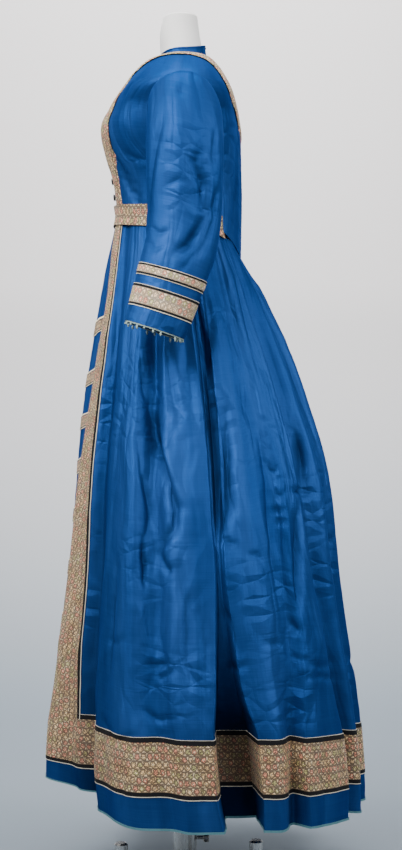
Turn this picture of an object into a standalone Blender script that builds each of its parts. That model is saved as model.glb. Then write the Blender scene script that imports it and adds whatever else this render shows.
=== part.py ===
"""A blue silk day dress on a limbless dress form with a stand.

The dress is a closed bodice, two-piece sleeves, a front skirt panel crossed by applied bands, and
wide folded side and back skirts, all trimmed with a patterned border between black ribbons.
Units are metres, +Z is up, the dress faces -Y and its wearer's left is +X. The stand is on z = 0.
Cloth is modelled as closed walls, each panel apart from its neighbours by the seam gap.
"""

import math
from collections import namedtuple

import bmesh
import bpy
from mathutils import Matrix, Vector

# Driving sizes
CLOTH = 0.0020          # thickness of a panel's wall
TRIM = 0.0011           # thickness of a border, ribbon or belt
SEAM = 0.0003           # gap between two pieces at a seam
WAIST_GAP = 0.0009      # how far the bodice stops above the skirt's finer columns
ON_PANEL = 0.0004       # gap between a panel and what lies on it, on shared columns
ON_CURVE = 0.0015       # the same where the piece crosses the panel's columns
STRAP_STANDOFF = 0.0014 # the straps clear the bodice's facets
BELT_STANDOFF = 0.0036  # the belt clears the borders that run under it
COLLAR_FRONT = 0.009    # height of the collar at the centre front
COLLAR_BACK = 0.016
STRAP_WIDTH = 0.044
LADDER_WIDTH = 0.026
LADDER_POINT = 0.010    # how far each ladder band dips at the centre front
CUFF_BLUE = 0.026
CUFF_LOWER = 0.034
CUFF_SPACE = 0.015
CUFF_UPPER = 0.022
FOREARM = 0.115         # length of the straight part of the sleeve, up from its edge
BUTTON_RADIUS = 0.0055
BUTTON_HEIGHT = 0.0045
BUTTON_CLEAR = 0.0010   # the rim of a flat button's back is over the hollow of the centre front
POLE_RADIUS = 0.016
SOCKET_RADIUS = 0.022
SOCKET_TOP = 0.135
BASE_REACH = 0.169
BASE_TURN = 49          # degrees from +X to the base's first arm
BASE_HEIGHT = 0.012
BASE_ARM = 0.017        # half the width of an arm of the base
POST_RADIUS = 0.012
POST_TOP = 0.105
HUB_RADIUS = 0.040

BELT_REACH = 124        # degrees each way from the centre front
BELT_COLUMNS = 30
BELT_ABOVE, BELT_BELOW = 0.30, 0.16     # its edges, in levels of the bodice and of the skirt
PANEL_COLUMNS = 8
CLEFT = [0.0, 4.0, 11.0, 11.0, 7.0, 2.0, 0.0]  # mm that the centre front dips, at each ring
CLEFT_REACH = 13.0      # degrees to each side over which that dip fades
COLLAR_LEAN = 0.05
COLLAR_PARTING = 0.0015
LEVEL_FALL = 0.165      # height of one level of the skirt's front

# A grid of points, and at each the vector that thickens the sheet evenly by one metre.
Sheet = namedtuple("Sheet", "points offsets")

# One level round the body: heights at the front, side and back, and the outline's reach.
Ring = namedtuple("Ring", "name z_front z_side z_back half_width y_front y_side y_back square")

BODICE = [
    Ring("waist", 1.2240, 1.2050, 1.1420, 0.135, -0.124, -0.005, 0.103, 2.1),
    Ring("rib", 1.2850, 1.2800, 1.2400, 0.140, -0.134, -0.008, 0.105, 2.1),
    Ring("bust", 1.3700, 1.3550, 1.3200, 0.158, -0.156, -0.012, 0.104, 2.2),
    Ring("armpit", 1.4120, 1.4000, 1.3800, 0.170, -0.139, -0.012, 0.101, 2.3),
    Ring("shoulder", 1.4500, 1.4400, 1.4450, 0.192, -0.112, -0.006, 0.087, 2.4),
    Ring("slope", 1.4840, 1.4920, 1.4950, 0.125, -0.084, -0.003, 0.063, 2.2),
    Ring("neck", 1.4970, 1.5090, 1.5220, 0.066, -0.053, -0.009, 0.040, 2.0),
]
SKIRT = [
    Ring("waist", 1.2240, 1.2050, 1.1420, 0.135, -0.124, -0.005, 0.103, 2.1),
    Ring("hip", 1.1000, 1.0850, 1.0400, 0.168, -0.148, 0.000, 0.164, 2.2),
    Ring("high", 0.9300, 0.9150, 0.8850, 0.220, -0.178, 0.010, 0.225, 2.3),
    Ring("thigh", 0.7600, 0.7500, 0.7300, 0.280, -0.200, 0.020, 0.266, 2.3),
    Ring("knee", 0.5900, 0.5750, 0.5550, 0.330, -0.213, 0.030, 0.283, 2.3),
    Ring("shin", 0.4200, 0.4100, 0.3850, 0.372, -0.232, 0.035, 0.309, 2.3),
    Ring("border_top", 0.3450, 0.3410, 0.3030, 0.390, -0.241, 0.038, 0.318, 2.3),
    Ring("border_foot", 0.2550, 0.2490, 0.2110, 0.405, -0.249, 0.040, 0.324, 2.3),
    Ring("hem", 0.2280, 0.1980, 0.1630, 0.412, -0.250, 0.040, 0.326, 2.3),
]
HEM_LEVEL = 8
FOLD_STEP = 2           # levels between the five places where a fold's line is given
RIBBON_SHARE = 0.1      # share of the hem border's height that each ribbon takes
SKIRT_LEVELS = [0, 0.4, 1, 1.6, 2.3, 3.1, 4, 5, 6, 6 + RIBBON_SHARE, 7 - RIBBON_SHARE, 7, 8]

# A line down the skirt, a ridge where its depth is 0 and a valley where it is deep: its angle
# from the centre front in degrees and its depth in mm, at the waist, high hip, knee, calf and hem.
Fold = namedtuple("Fold", "name angles depths steps")

FOLDS_LEFT = [
    Fold("centre_front", (0, 0, 0, 0, 0), (0, 0, 12, 18, 18), 2),
    Fold("front_edge", (14.5, 23, 23.5, 24.2, 25), (0, 12, 3, 0, 0), 2),
    Fold("border_edge", (32.5, 36.5, 38, 39.5, 41), (0, 13, 24, 37, 50), 0),
    Fold("front_valley", (40, 44, 46, 48, 50), (4, 30, 48, 67, 87), 3),
    Fold("near_edge", (52, 57, 58, 59.2, 60.5), (0, 6, 16, 26, 35), 1),
    Fold("near_ridge", (62, 66, 69, 71.6, 74), (0, 0, 0, 0, 0), 2),
    Fold("side_crease", (69, 73, 76, 79, 82), (6, 24, 20, 17, 14), 2),
    Fold("side_ridge", (76, 80, 83, 85.2, 87), (0, 0, 0, 0, 0), 2),
    Fold("side_edge", (87, 94, 93.8, 91.4, 93.6), (0, 0, 0, 0, 2), 3),
    Fold("deep_front", (92, 96.2, 94.8, 92.8, 95.5), (6, 18, 14, 82, 98), 2),
    Fold("deep_back", (96, 98.6, 96.2, 103, 105.5), (6, 18, 14, 82, 98), 3),
    Fold("back_edge", (101, 101.5, 97.8, 102.6, 103), (0, 0, 3, 5, 6), 1),
    Fold("back_ridge", (107, 108.5, 104.5, 106.8, 106.5), (0, 0, 0, 0, 0), 2),
    Fold("back_crease", (113, 117, 116, 113, 112.5), (4, 8, 14, 26, 34), 2),
    Fold("broad_edge", (118, 122.5, 120, 116, 115.5), (0, 0, 0, 0, 0), 1),
    Fold("broad_back", (124, 129, 128, 132, 131), (0, 0, 0, 0, 0), 2),
    Fold("pleat_valley", (131, 134.5, 134.5, 136.8, 136), (6, 22, 26, 36, 40), 2),
    Fold("pleat_ridge", (140, 144, 144, 143.8, 143.5), (0, 0, 0, 0, 0), 2),
    Fold("centre_valley", (150, 154, 154.3, 154.6, 155), (6, 20, 25, 30, 35), 3),
    Fold("centre_ridge", (162, 166, 166.7, 167.4, 168), (0, 0, 0, 0, 0), 2),
    Fold("centre_back", (180, 180, 180, 180, 180), (6, 20, 20, 20, 20), 0),
]
FOLDS_RIGHT = [
    Fold("centre_front", (0, 0, 0, 0, 0), (0, 0, 12, 18, 18), 2),
    Fold("front_edge", (14.5, 23, 23.5, 24.2, 25), (0, 12, 3, 0, 0), 2),
    Fold("border_edge", (32.5, 36.5, 38, 39.5, 41), (0, 13, 24, 35, 46), 0),
    Fold("front_valley", (40, 45, 47, 49, 51), (4, 26, 43, 60, 76), 2),
    Fold("near_edge", (51, 56, 58, 60, 62), (0, 5, 12, 19, 26), 1),
    Fold("near_ridge", (60, 65, 67, 69, 71), (0, 0, 0, 0, 0), 2),
    Fold("side_crease", (67, 72, 74, 76, 78), (6, 24, 26, 28, 30), 2),
    Fold("side_ridge", (75, 79, 81.5, 84, 86), (0, 0, 0, 0, 0), 1),
    Fold("side_edge", (86, 90, 91, 92, 93), (0, 0, 0, 0, 0), 3),
    Fold("deep_front", (91, 95, 95.5, 96.2, 97), (6, 30, 48, 70, 92), 1),
    Fold("deep_back", (95, 98, 99, 100, 101), (6, 30, 48, 70, 92), 3),
    Fold("back_edge", (101, 103, 104, 104.8, 105.5), (0, 0, 2, 5, 8), 1),
    Fold("back_ridge", (106, 109, 109.3, 109.6, 110), (0, 0, 0, 0, 0), 2),
    Fold("back_crease", (112, 115, 115, 115, 115), (4, 16, 25, 35, 44), 2),
    Fold("broad_edge", (118, 120, 120, 120, 120), (0, 0, 0, 0, 0), 1),
    Fold("broad_back", (125, 129, 129.3, 129.6, 130), (0, 0, 0, 0, 0), 2),
    Fold("pleat_valley", (132, 136, 136.3, 136.6, 137), (6, 20, 29, 38, 46), 2),
    Fold("pleat_ridge", (141, 145, 145.3, 145.6, 146), (0, 0, 0, 0, 0), 2),
    Fold("centre_valley", (151, 155, 156, 157, 158), (6, 22, 25, 28, 30), 2),
    Fold("centre_ridge", (163, 167, 167.6, 168.3, 169), (0, 0, 0, 0, 0), 2),
    Fold("centre_back", (180, 180, 180, 180, 180), (6, 20, 20, 20, 20), 0),
]
FOLDS = {1: FOLDS_LEFT, -1: FOLDS_RIGHT}
RIBBON_COLUMNS = [0.0, 0.2, 0.6]   # after the border's edge: its ribbon, then plain cloth
FRONT_EDGE = 1
BORDER_EDGE = 2
SIDE_SEAM = 10
CENTRE_BACK = 20

# The armhole, an oval on the bodice: centre and reach in levels and in degrees.
ARMHOLE_LEVEL, ARMHOLE_LEVELS = 2.65, 1.35
ARMHOLE_ANGLE, ARMHOLE_ANGLES = 91.0, 19.0

# One ring of the sleeve: centre, lean of its outer side above level, forward pitch, half sizes.
Cuff = namedtuple("Cuff", "name x y z lean pitch depth width")
SLEEVE = [
    Cuff("cap", 0.2030, 0.0000, 1.3770, 62, 0, 0.062, 0.0660),
    Cuff("shoulder", 0.2180, 0.0020, 1.3360, 34, 0, 0.066, 0.0590),
    Cuff("upper_arm", 0.2270, 0.0030, 1.2800, 9, 0, 0.066, 0.0520),
    Cuff("arm", 0.2320, 0.0020, 1.2000, 0, 2, 0.063, 0.0480),
    Cuff("elbow", 0.2400, -0.0040, 1.1420, 0, 9, 0.061, 0.0460),
    Cuff("forearm", 0.2470, -0.0130, 1.1090, 0, 16, 0.059, 0.0450),
    Cuff("edge", 0.2600, -0.0470, 0.9990, 0, 18, 0.052, 0.0440),
]
SLEEVE_EDGE = len(SLEEVE)
TURN = 20               # degrees between the columns of a sleeve and round the armhole
FRONT_SEAM = 60         # the upper sleeve's seams lie this far either side of the inner line

# Straps over the shoulder: level on the bodice and angle from the centre front, from the waist.
Stop = namedtuple("Stop", "level angle")
STRAP = [
    Stop(0.12, 24.0), Stop(0.7, 25.5), Stop(1.4, 27.5), Stop(2.1, 29.5), Stop(2.8, 31.0),
    Stop(3.5, 33.0), Stop(4.1, 37.0), Stop(4.65, 44.0), Stop(5.1, 57.0), Stop(5.35, 74.0),
    Stop(5.35, 92.0), Stop(5.1, 109.0), Stop(4.65, 121.0), Stop(4.0, 132.0), Stop(3.5, 146.0),
    Stop(3.1, 161.0), Stop(2.95, 173.0),
]
LADDER_LEVELS = [1.45, 1.99, 2.46, 2.94, 3.46, 4.0, 4.52]
BUTTON_LEVELS = [0.62, 1.06, 1.5, 1.94, 2.5, 3.2, 4.0]

# The form under the dress: its own rings below the waist and at the neck.
FORM_INSET = [0.0110, 0.0080, 0.0070, 0.0080, 0.0085, 0.0020, 0.0055]
FORM_HIPS = [
    Ring("seat", 0.915, 0.915, 0.915, 0.116, -0.092, 0.000, 0.098, 2.1),
    Ring("hip", 1.010, 1.010, 1.010, 0.128, -0.102, 0.000, 0.106, 2.1),
    Ring("belly", 1.115, 1.105, 1.080, 0.124, -0.108, -0.002, 0.100, 2.1),
]
FORM_NECK = [
    Ring("collar", 1.512, 1.524, 1.539, 0.055, -0.0445, -0.010, 0.031, 2.0),
    Ring("throat", 1.558, 1.560, 1.564, 0.046, -0.0460, -0.010, 0.027, 2.0),
    Ring("cap", 1.590, 1.592, 1.594, 0.040, -0.0400, -0.008, 0.023, 2.0),
]

BLUE = ("taffeta_blue", (0.045, 0.150, 0.360), 0.42, 0.0)
BORDER = ("border_print", (0.640, 0.480, 0.340), 0.75, 0.0)
BLACK = ("ribbon_black", (0.012, 0.012, 0.014), 0.80, 0.0)
EDGING = ("edging_pale", (0.620, 0.640, 0.520), 0.80, 0.0)
BUTTON = ("button_dark", (0.030, 0.022, 0.020), 0.45, 0.0)
FORM = ("form_cover", (0.780, 0.770, 0.750), 0.90, 0.0)
STEEL = ("steel_satin", (0.620, 0.610, 0.590), 0.28, 1.0)
IRON = ("base_grey", (0.220, 0.225, 0.230), 0.55, 0.0)


def clear_scene():
    for item in list(bpy.data.objects):
        bpy.data.objects.remove(item, do_unlink=True)


def new_collection(name):
    collection = bpy.data.collections.new(name)
    bpy.context.scene.collection.children.link(collection)
    return collection


def material(finish):
    name, colour, roughness, metallic = finish
    found = bpy.data.materials.get(name)
    if found:
        return found
    made = bpy.data.materials.new(name)
    made.use_nodes = True
    shader = made.node_tree.nodes["Principled BSDF"]
    shader.inputs["Base Color"].default_value = (*colour, 1)
    shader.inputs["Roughness"].default_value = roughness
    shader.inputs["Metallic"].default_value = metallic
    return made


def spline(values, position):
    """A smooth curve through values, which may be numbers or vectors, at positions 0, 1, 2 ..."""
    last = len(values) - 1
    position = min(max(position, 0), last)
    start = min(int(position), last - 1)
    t = position - start
    before, here, after, beyond = (values[min(max(start + k, 0), last)] for k in (-1, 0, 1, 2))
    if start == 0:
        before = here * 2 - after
    if start == last - 1:
        beyond = after * 2 - here
    bend = (after - before) * t + (before * 2 - here * 5 + after * 4 - beyond) * t ** 2
    return here + (bend + (here * 3 - before - after * 3 + beyond) * t ** 3) * 0.5


def ring_at(rings, level):
    columns = [spline([ring[k] for ring in rings], level) for k in range(1, len(rings[0]))]
    return Ring("between", *columns)


def outline(ring, angle, depth=0.0):
    """A point of the ring at an angle from the front, in degrees, and sunk in by a depth."""
    turn = math.radians(angle)
    sine, cosine = math.sin(turn), math.cos(turn)
    reach = ring.y_side - ring.y_front if cosine > 0 else ring.y_back - ring.y_side
    wide = (abs(sine) / ring.half_width) ** ring.square + (abs(cosine) / reach) ** ring.square
    radius = wide ** (-1 / ring.square) - depth
    end = ring.z_front if cosine > 0 else ring.z_back
    height = ring.z_side + (end - ring.z_side) * cosine ** 2
    return Vector((radius * sine, ring.y_side - radius * cosine, height))


def cleft(level, angle):
    """How far the bodice is drawn in between the breasts, in metres."""
    turn = min(abs(angle), 360 - abs(angle)) / CLEFT_REACH
    return spline(CLEFT, level) / 1000 * math.exp(-turn * turn)


def bodice_point(level, angle):
    return outline(ring_at(BODICE, level), angle, cleft(level, angle))


def normal_of(point, first, second, step=0.02):
    """The outward normal of a surface given as a function of two values."""
    across = point(first + step, second) - point(first - step, second)
    along = point(first, second + step * 10) - point(first, second - step * 10)
    normal = across.cross(along).normalized()
    middle = point(first, second)
    if normal.dot(Vector((middle.x, middle.y, 0.3))) < 0:
        normal.negate()
    return normal


def bodice_normal(level, angle):
    level = min(max(level, 0.03), len(BODICE) - 1.03)
    return normal_of(bodice_point, level, angle)


def fold_at(fold, level):
    """A fold's angle and depth at a level of the skirt."""
    position = level / FOLD_STEP
    return spline(fold.angles, position), spline(fold.depths, position) / 1000


def skirt_point(side, place, level):
    """A point of the skirt's outer face. place counts fold lines from the centre front."""
    folds = FOLDS[side]
    index = min(int(place), len(folds) - 2)
    share = place - index
    angle, depth = fold_at(folds[index], level)
    next_angle, next_depth = fold_at(folds[index + 1], level)
    eased = (1 - math.cos(math.pi * share)) / 2
    angle += (next_angle - angle) * share
    depth += (next_depth - depth) * eased
    point = outline(ring_at(SKIRT, level), angle, depth)
    point.x *= side
    return point


def skirt_columns(first, last, side):
    """The columns of a panel between two fold lines, as places."""
    places = []
    for index in range(first, last):
        steps = FOLDS[side][index].steps
        shares = [k / steps for k in range(steps)] if steps else RIBBON_COLUMNS
        places += [index + share for share in shares]
    return places + [last]


def sheet_of(points, closed=False):
    """A sheet from a grid of points, rows upwards and columns from the front to the left."""
    rows, columns = len(points), len(points[0])
    totals = [[Vector() for _ in range(columns)] for _ in range(rows)]
    faces = [[[] for _ in range(columns)] for _ in range(rows)]
    for r in range(rows - 1):
        for c in range(columns if closed else columns - 1):
            n = (c + 1) % columns
            ring = [(r, c), (r, n), (r + 1, n), (r + 1, c)]
            for k, (row, column) in enumerate(ring):
                here = points[row][column]
                ahead = points[ring[(k + 1) % 4][0]][ring[(k + 1) % 4][1]] - here
                behind = points[ring[k - 1][0]][ring[k - 1][1]] - here
                normal = ahead.cross(behind).normalized()
                totals[row][column] += normal * ahead.angle(behind, 0)
                faces[row][column].append(normal)
    for r in range(rows):
        for c in range(columns):
            normal = totals[r][c].normalized()
            share = sum(normal.dot(face) for face in faces[r][c]) / len(faces[r][c])
            totals[r][c] = normal / max(share, 0.45)
    return Sheet(points, totals)


def picked(sheet, rows, columns):
    """The part of a sheet in these rows and columns."""
    return Sheet(*([[grid[r][c] for c in columns] for r in rows] for grid in sheet))


def drawn_in(sheet, edges, gap=SEAM / 2):
    """Draws the named edges of a sheet in by half a seam, along its own facets."""
    points, offsets = ([list(row) for row in grid] for grid in sheet)
    rows, columns = len(points), len(points[0])
    pairs = {
        "first": [((r, 0), (r, 1)) for r in range(rows)],
        "last": [((r, columns - 1), (r, columns - 2)) for r in range(rows)],
        "low": [((0, c), (1, c)) for c in range(columns)],
        "high": [((rows - 1, c), (rows - 2, c)) for c in range(columns)],
    }
    for edge in edges:
        moved = []
        for (r, c), (row, column) in pairs[edge]:
            share = gap / (points[row][column] - points[r][c]).length
            moved.append((r, c, points[r][c].lerp(points[row][column], share),
                          offsets[r][c].lerp(offsets[row][column], share)))
        for r, c, point, offset in moved:
            points[r][c] = point
            offsets[r][c] = offset
    return Sheet(points, offsets)


def cloth(collection, name, sheet, finish, inner=-CLOTH, outer=0.0, side=1):
    """A closed wall between two offsets of a sheet. Side -1 makes it on the wearer's right."""
    rows, columns = len(sheet.points), len(sheet.points[0])
    made = bmesh.new()
    bmesh.ops.create_grid(made, x_segments=columns - 1, y_segments=rows - 1, size=1)
    bmesh.ops.triangulate(made, faces=made.faces)
    doubled = bmesh.ops.extrude_face_region(made, geom=made.faces[:])
    lower = {item for item in doubled["geom"] if isinstance(item, bmesh.types.BMVert)}
    for vertex in made.verts:
        column = round((vertex.co.x + 1) / 2 * (columns - 1))
        row = round((vertex.co.y + 1) / 2 * (rows - 1))
        reach = inner if vertex in lower else outer
        point = sheet.points[row][column] + sheet.offsets[row][column] * reach
        vertex.co = (point.x * side, point.y, point.z)
    bmesh.ops.recalc_face_normals(made, faces=made.faces)
    if made.calc_volume(signed=True) < 0:
        bmesh.ops.reverse_faces(made, faces=made.faces)
    mesh = bpy.data.meshes.new(name)
    made.to_mesh(mesh)
    made.free()
    mesh.shade_smooth()
    return solid(collection, name, mesh, finish)


def trim(collection, name, sheet, finish, edges=("first", "last", "low", "high"), side=1):
    """A flat piece that lies on a sheet and shares its facets."""
    return cloth(collection, name, drawn_in(sheet, edges), finish, ON_PANEL, ON_PANEL + TRIM, side)


def solid(collection, name, mesh, finish):
    mesh.materials.append(material(finish))
    piece = bpy.data.objects.new(name, mesh)
    collection.objects.link(piece)
    return piece


def skirt_sheet():
    """The whole skirt as one closed sheet, and the column of each place on each side."""
    left = [(1, place) for place in skirt_columns(0, CENTRE_BACK, 1)]
    right = [(-1, place) for place in skirt_columns(0, CENTRE_BACK, -1)]
    columns = left + list(reversed(right))[1:-1]
    points = [[skirt_point(*column, level) for column in columns] for level in reversed(SKIRT_LEVELS)]
    numbers = {column: number for number, column in enumerate(columns)}
    numbers[(-1, CENTRE_BACK)] = numbers[(1, CENTRE_BACK)]
    numbers[(-1, 0)] = 0
    return sheet_of(points, closed=True), numbers


def skirt_block(skirt, start, end, top=0, foot=HEM_LEVEL):
    """The skirt from one side and place round to another, between two levels."""
    sheet, numbers = skirt
    first, last = numbers[start], numbers[end]
    count = len(sheet.points[0])
    columns = [(first + k) % count for k in range((last - first) % count + 1)]
    levels = list(reversed(SKIRT_LEVELS))
    rows = [row for row, level in enumerate(levels) if top <= level <= foot]
    return picked(sheet, rows, columns)


def build_skirt(collection, skirt):
    seams = ("first", "last", "high")
    ends = {
        "skirt_front": ((-1, FRONT_EDGE), (1, FRONT_EDGE)),
        "skirt_side_left": ((1, FRONT_EDGE), (1, SIDE_SEAM)),
        "skirt_side_right": ((-1, SIDE_SEAM), (-1, FRONT_EDGE)),
        "skirt_back_left": ((1, SIDE_SEAM), (1, CENTRE_BACK)),
        "skirt_back_right": ((-1, CENTRE_BACK), (-1, SIDE_SEAM)),
    }
    for name, (start, end) in ends.items():
        cloth(collection, name, drawn_in(skirt_block(skirt, start, end), seams), BLUE)


def build_borders(collection, skirt):
    """The border down each front edge and round the hem, and the ribbons beside it."""
    over, under = 6 + RIBBON_SHARE, 7 - RIBBON_SHARE
    ribbon = BORDER_EDGE + RIBBON_COLUMNS[1]
    front = ((-1, FRONT_EDGE), (1, FRONT_EDGE))
    trim(collection, "hem_border_front", skirt_block(skirt, *front, over, under), BORDER)
    trim(collection, "hem_ribbon_front", skirt_block(skirt, *front, under, 7), BLACK)
    for side, word in ((1, "left"), (-1, "right")):
        def run(start, end):
            ends = ((side, start), (side, end))
            return ends if side > 0 else tuple(reversed(ends))
        whole = run(FRONT_EDGE, CENTRE_BACK)
        trim(collection, f"front_border_{word}",
             skirt_block(skirt, *run(FRONT_EDGE, BORDER_EDGE), 0, under), BORDER)
        trim(collection, f"front_ribbon_{word}",
             skirt_block(skirt, *run(BORDER_EDGE, ribbon), 0, over), BLACK)
        trim(collection, f"hem_border_{word}",
             skirt_block(skirt, *run(BORDER_EDGE, CENTRE_BACK), over, under), BORDER)
        trim(collection, f"hem_ribbon_upper_{word}",
             skirt_block(skirt, *run(ribbon, CENTRE_BACK), 6, over), BLACK)
        trim(collection, f"hem_ribbon_lower_{word}", skirt_block(skirt, *whole, under, 7), BLACK)


def row_share(level):
    """The row below a level of the skirt's sheet, and how far above that row the level is."""
    levels = list(reversed(SKIRT_LEVELS))
    row = max(k for k in range(len(levels) - 1) if levels[k] >= level)
    return row, (levels[row] - level) / (levels[row] - levels[row + 1])


def build_ladder(collection, skirt):
    """Bands across the front panel, each dipping to a point at the centre front."""
    panel = skirt_block(skirt, (-1, FRONT_EDGE), (1, FRONT_EDGE))
    count = len(panel.points[0])
    middle = (count - 1) / 2
    for number, level in enumerate(LADDER_LEVELS, 1):
        grids = ([], [])
        for edge in (LADDER_WIDTH / 2, 0, -LADDER_WIDTH / 2):
            lines = ([], [])
            for column in range(count):
                dip = LADDER_POINT * (1 - abs(column - middle) / middle)
                row, share = row_share(level + (edge + dip) / LEVEL_FALL)
                for grid, line in zip(panel, lines):
                    line.append(grid[row][column].lerp(grid[row + 1][column], share))
            for grid, line in zip(grids, lines):
                grid.append(line)
        band = drawn_in(Sheet(*grids), ("first", "last"))
        cloth(collection, f"ladder_band_{number}", band, BORDER, ON_CURVE, ON_CURVE + TRIM)


def armhole(turn):
    """Level and angle of a point on the armhole, turning from the underarm to the front."""
    lift = -math.cos(math.radians(turn))
    return (ARMHOLE_LEVEL + ARMHOLE_LEVELS * lift,
            ARMHOLE_ANGLE - ARMHOLE_ANGLES * math.sin(math.radians(turn)))


def bodice_rows():
    """Level of each row of a bodice panel and the armhole turn that its side edge reaches."""
    underarm, tip = armhole(0)[0], armhole(180)[0]
    rows = [(underarm * k / 4, 0) for k in range(4)]
    rows += [(armhole(turn)[0], turn) for turn in range(0, 181, TURN)]
    rows += [(tip + (len(BODICE) - 1 - tip) * k / 4, 180) for k in range(1, 5)]
    return rows


def bodice_columns(end, start, turn=0):
    reach = ARMHOLE_ANGLES * math.sin(math.radians(turn))
    edge = ARMHOLE_ANGLE - reach if start == 0 else ARMHOLE_ANGLE + reach
    return [start + (edge - start) * column / end for column in range(end + 1)]


def build_bodice(collection):
    front, back = [], []
    for level, turn in bodice_rows():
        front.append([bodice_point(level, a) for a in bodice_columns(PANEL_COLUMNS, 0, turn)])
        half = [bodice_point(level, a) for a in bodice_columns(PANEL_COLUMNS, 180, turn)]
        other = [Vector((-p.x, p.y, p.z)) for p in half]
        back.append(list(reversed(half)) + other[1:])
    front, back = sheet_of(front), sheet_of(back)
    for row, (level, turn) in enumerate(bodice_rows()):
        front.offsets[row][0].x = 0
        if turn in (0, 180):
            shared = (front.offsets[row][-1] + back.offsets[row][0]) / 2
            front.offsets[row][-1] = shared
            back.offsets[row][0] = shared
            back.offsets[row][-1] = Vector((-shared.x, shared.y, shared.z))
    front, back = (drawn_in(panel, ["low"], WAIST_GAP) for panel in (front, back))
    edges = ("first", "last", "high")
    for side, word in ((1, "left"), (-1, "right")):
        cloth(collection, f"bodice_front_{word}", drawn_in(front, edges), BLUE, side=side)
    cloth(collection, "bodice_back", drawn_in(back, edges), BLUE)


def build_collar(collection):
    front = bodice_columns(PANEL_COLUMNS, 0)
    back = list(reversed(bodice_columns(PANEL_COLUMNS, 180)))[1:]
    angles = front + back
    angles += [360 - angle for angle in reversed(angles[:-1])]
    rows = []
    for share in (0, 1):
        row = []
        for angle in angles:
            point = bodice_point(len(BODICE) - 1, angle)
            back = (1 - math.cos(math.radians(angle))) / 2
            rise = COLLAR_FRONT + (COLLAR_BACK - COLLAR_FRONT) * back
            lean = Vector((-point.x, BODICE[-1].y_side - point.y, 0)) * COLLAR_LEAN
            row.append(point + (Vector((0, 0, rise)) + lean) * share + Vector((0, 0, SEAM)))
        rows.append(row)
    collar = drawn_in(sheet_of(rows), ("first", "last"), COLLAR_PARTING)
    cloth(collection, "collar", collar, BLUE)


def build_straps(collection):
    """Borders from the waist over each shoulder to a point at the centre back."""
    per_stop = 2
    count = (len(STRAP) - 1) * per_stop
    for side, word in ((1, "left"), (-1, "right")):
        middle = []
        for k in range(count + 1):
            level = spline([stop.level for stop in STRAP], k / per_stop)
            angle = spline([stop.angle for stop in STRAP], k / per_stop)
            middle.append((level, angle))
        rows = []
        for k, (level, angle) in enumerate(middle):
            before = bodice_point(*middle[max(k - 1, 0)])
            after = bodice_point(*middle[min(k + 1, count)])
            across = (after - before).cross(bodice_normal(level, angle)).normalized()
            here = bodice_point(level, angle)
            rows.append([on_bodice(here - across * STRAP_WIDTH * share, level, angle)
                         for share in (0.5, 0, -0.5)])
        strap = Sheet([[p for p, _ in row] for row in rows], [[n for _, n in row] for row in rows])
        cloth(collection, f"strap_{word}", strap, BORDER, STRAP_STANDOFF, STRAP_STANDOFF + TRIM,
              side)


def on_bodice(aim, level, angle):
    """The point and normal of the bodice nearest to an aim, by small steps from a start."""
    best = (level, angle)
    step_level, step_angle = 0.4, 12.0
    while step_angle > 0.02:
        tries = [(best[0] + a * step_level, best[1] + b * step_angle)
                 for a in (-1, 0, 1) for b in (-1, 0, 1)]
        tries = [(min(max(a, 0), len(BODICE) - 1), min(max(b, 1.0), 179.2)) for a, b in tries]
        nearest = min(tries, key=lambda t: (bodice_point(*t) - aim).length)
        if nearest == best:
            step_level *= 0.5
            step_angle *= 0.5
        best = nearest
    return bodice_point(*best), bodice_normal(*best)


def build_belt(collection):
    """A belt over the waist seam, from one side back round the front to the other."""
    rows = []
    for ring in (ring_at(SKIRT, BELT_BELOW), SKIRT[0], ring_at(BODICE, BELT_ABOVE)):
        angles = [BELT_REACH * (k / BELT_COLUMNS * 2 - 1) for k in range(BELT_COLUMNS + 1)]
        rows.append([outline(ring, angle) for angle in angles])
    cloth(collection, "belt", sheet_of(rows), BORDER, BELT_STANDOFF, BELT_STANDOFF + TRIM)


def build_buttons(collection):
    """Domed buttons down the centre front of the bodice."""
    for number, level in enumerate(BUTTON_LEVELS, 1):
        mesh = bpy.data.meshes.new(f"button_{number}")
        made = bmesh.new()
        bmesh.ops.create_cone(made, cap_ends=True, segments=8, radius1=BUTTON_RADIUS,
                              radius2=BUTTON_RADIUS * 0.55, depth=BUTTON_HEIGHT)
        normal = bodice_normal(level, 0.0)
        seat = bodice_point(level, 0.0) + normal * (BUTTON_CLEAR + BUTTON_HEIGHT / 2)
        place = Matrix.Translation(seat) @ normal.to_track_quat("Z", "Y").to_matrix().to_4x4()
        bmesh.ops.transform(made, matrix=place, verts=made.verts)
        made.to_mesh(mesh)
        made.free()
        solid(collection, f"button_{number}", mesh, BUTTON)


def sleeve_ring_point(cuff, turn):
    """A point of a sleeve ring, turning from the inner side to the front."""
    lean, pitch = math.radians(cuff.lean), math.radians(cuff.pitch)
    front = Vector((0, -math.cos(pitch), math.sin(pitch)))
    outer = Vector((math.cos(lean), 0, math.sin(lean)))
    sine, cosine = math.sin(math.radians(turn)), math.cos(math.radians(turn))
    centre = Vector((cuff.x, cuff.y, cuff.z))
    return centre + front * cuff.depth * sine - outer * cuff.width * cosine


def sleeve_point(turn, level):
    """A point of the left sleeve. Level 0 is the armhole and the last level is its edge."""
    start = bodice_point(*armhole(turn)) + Vector((SEAM, 0, 0))
    return spline([start] + [sleeve_ring_point(cuff, turn) for cuff in SLEEVE], level)


def sleeve_level(distance):
    """The level that lies a distance up from the sleeve's edge."""
    return SLEEVE_EDGE - distance / FOREARM


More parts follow.
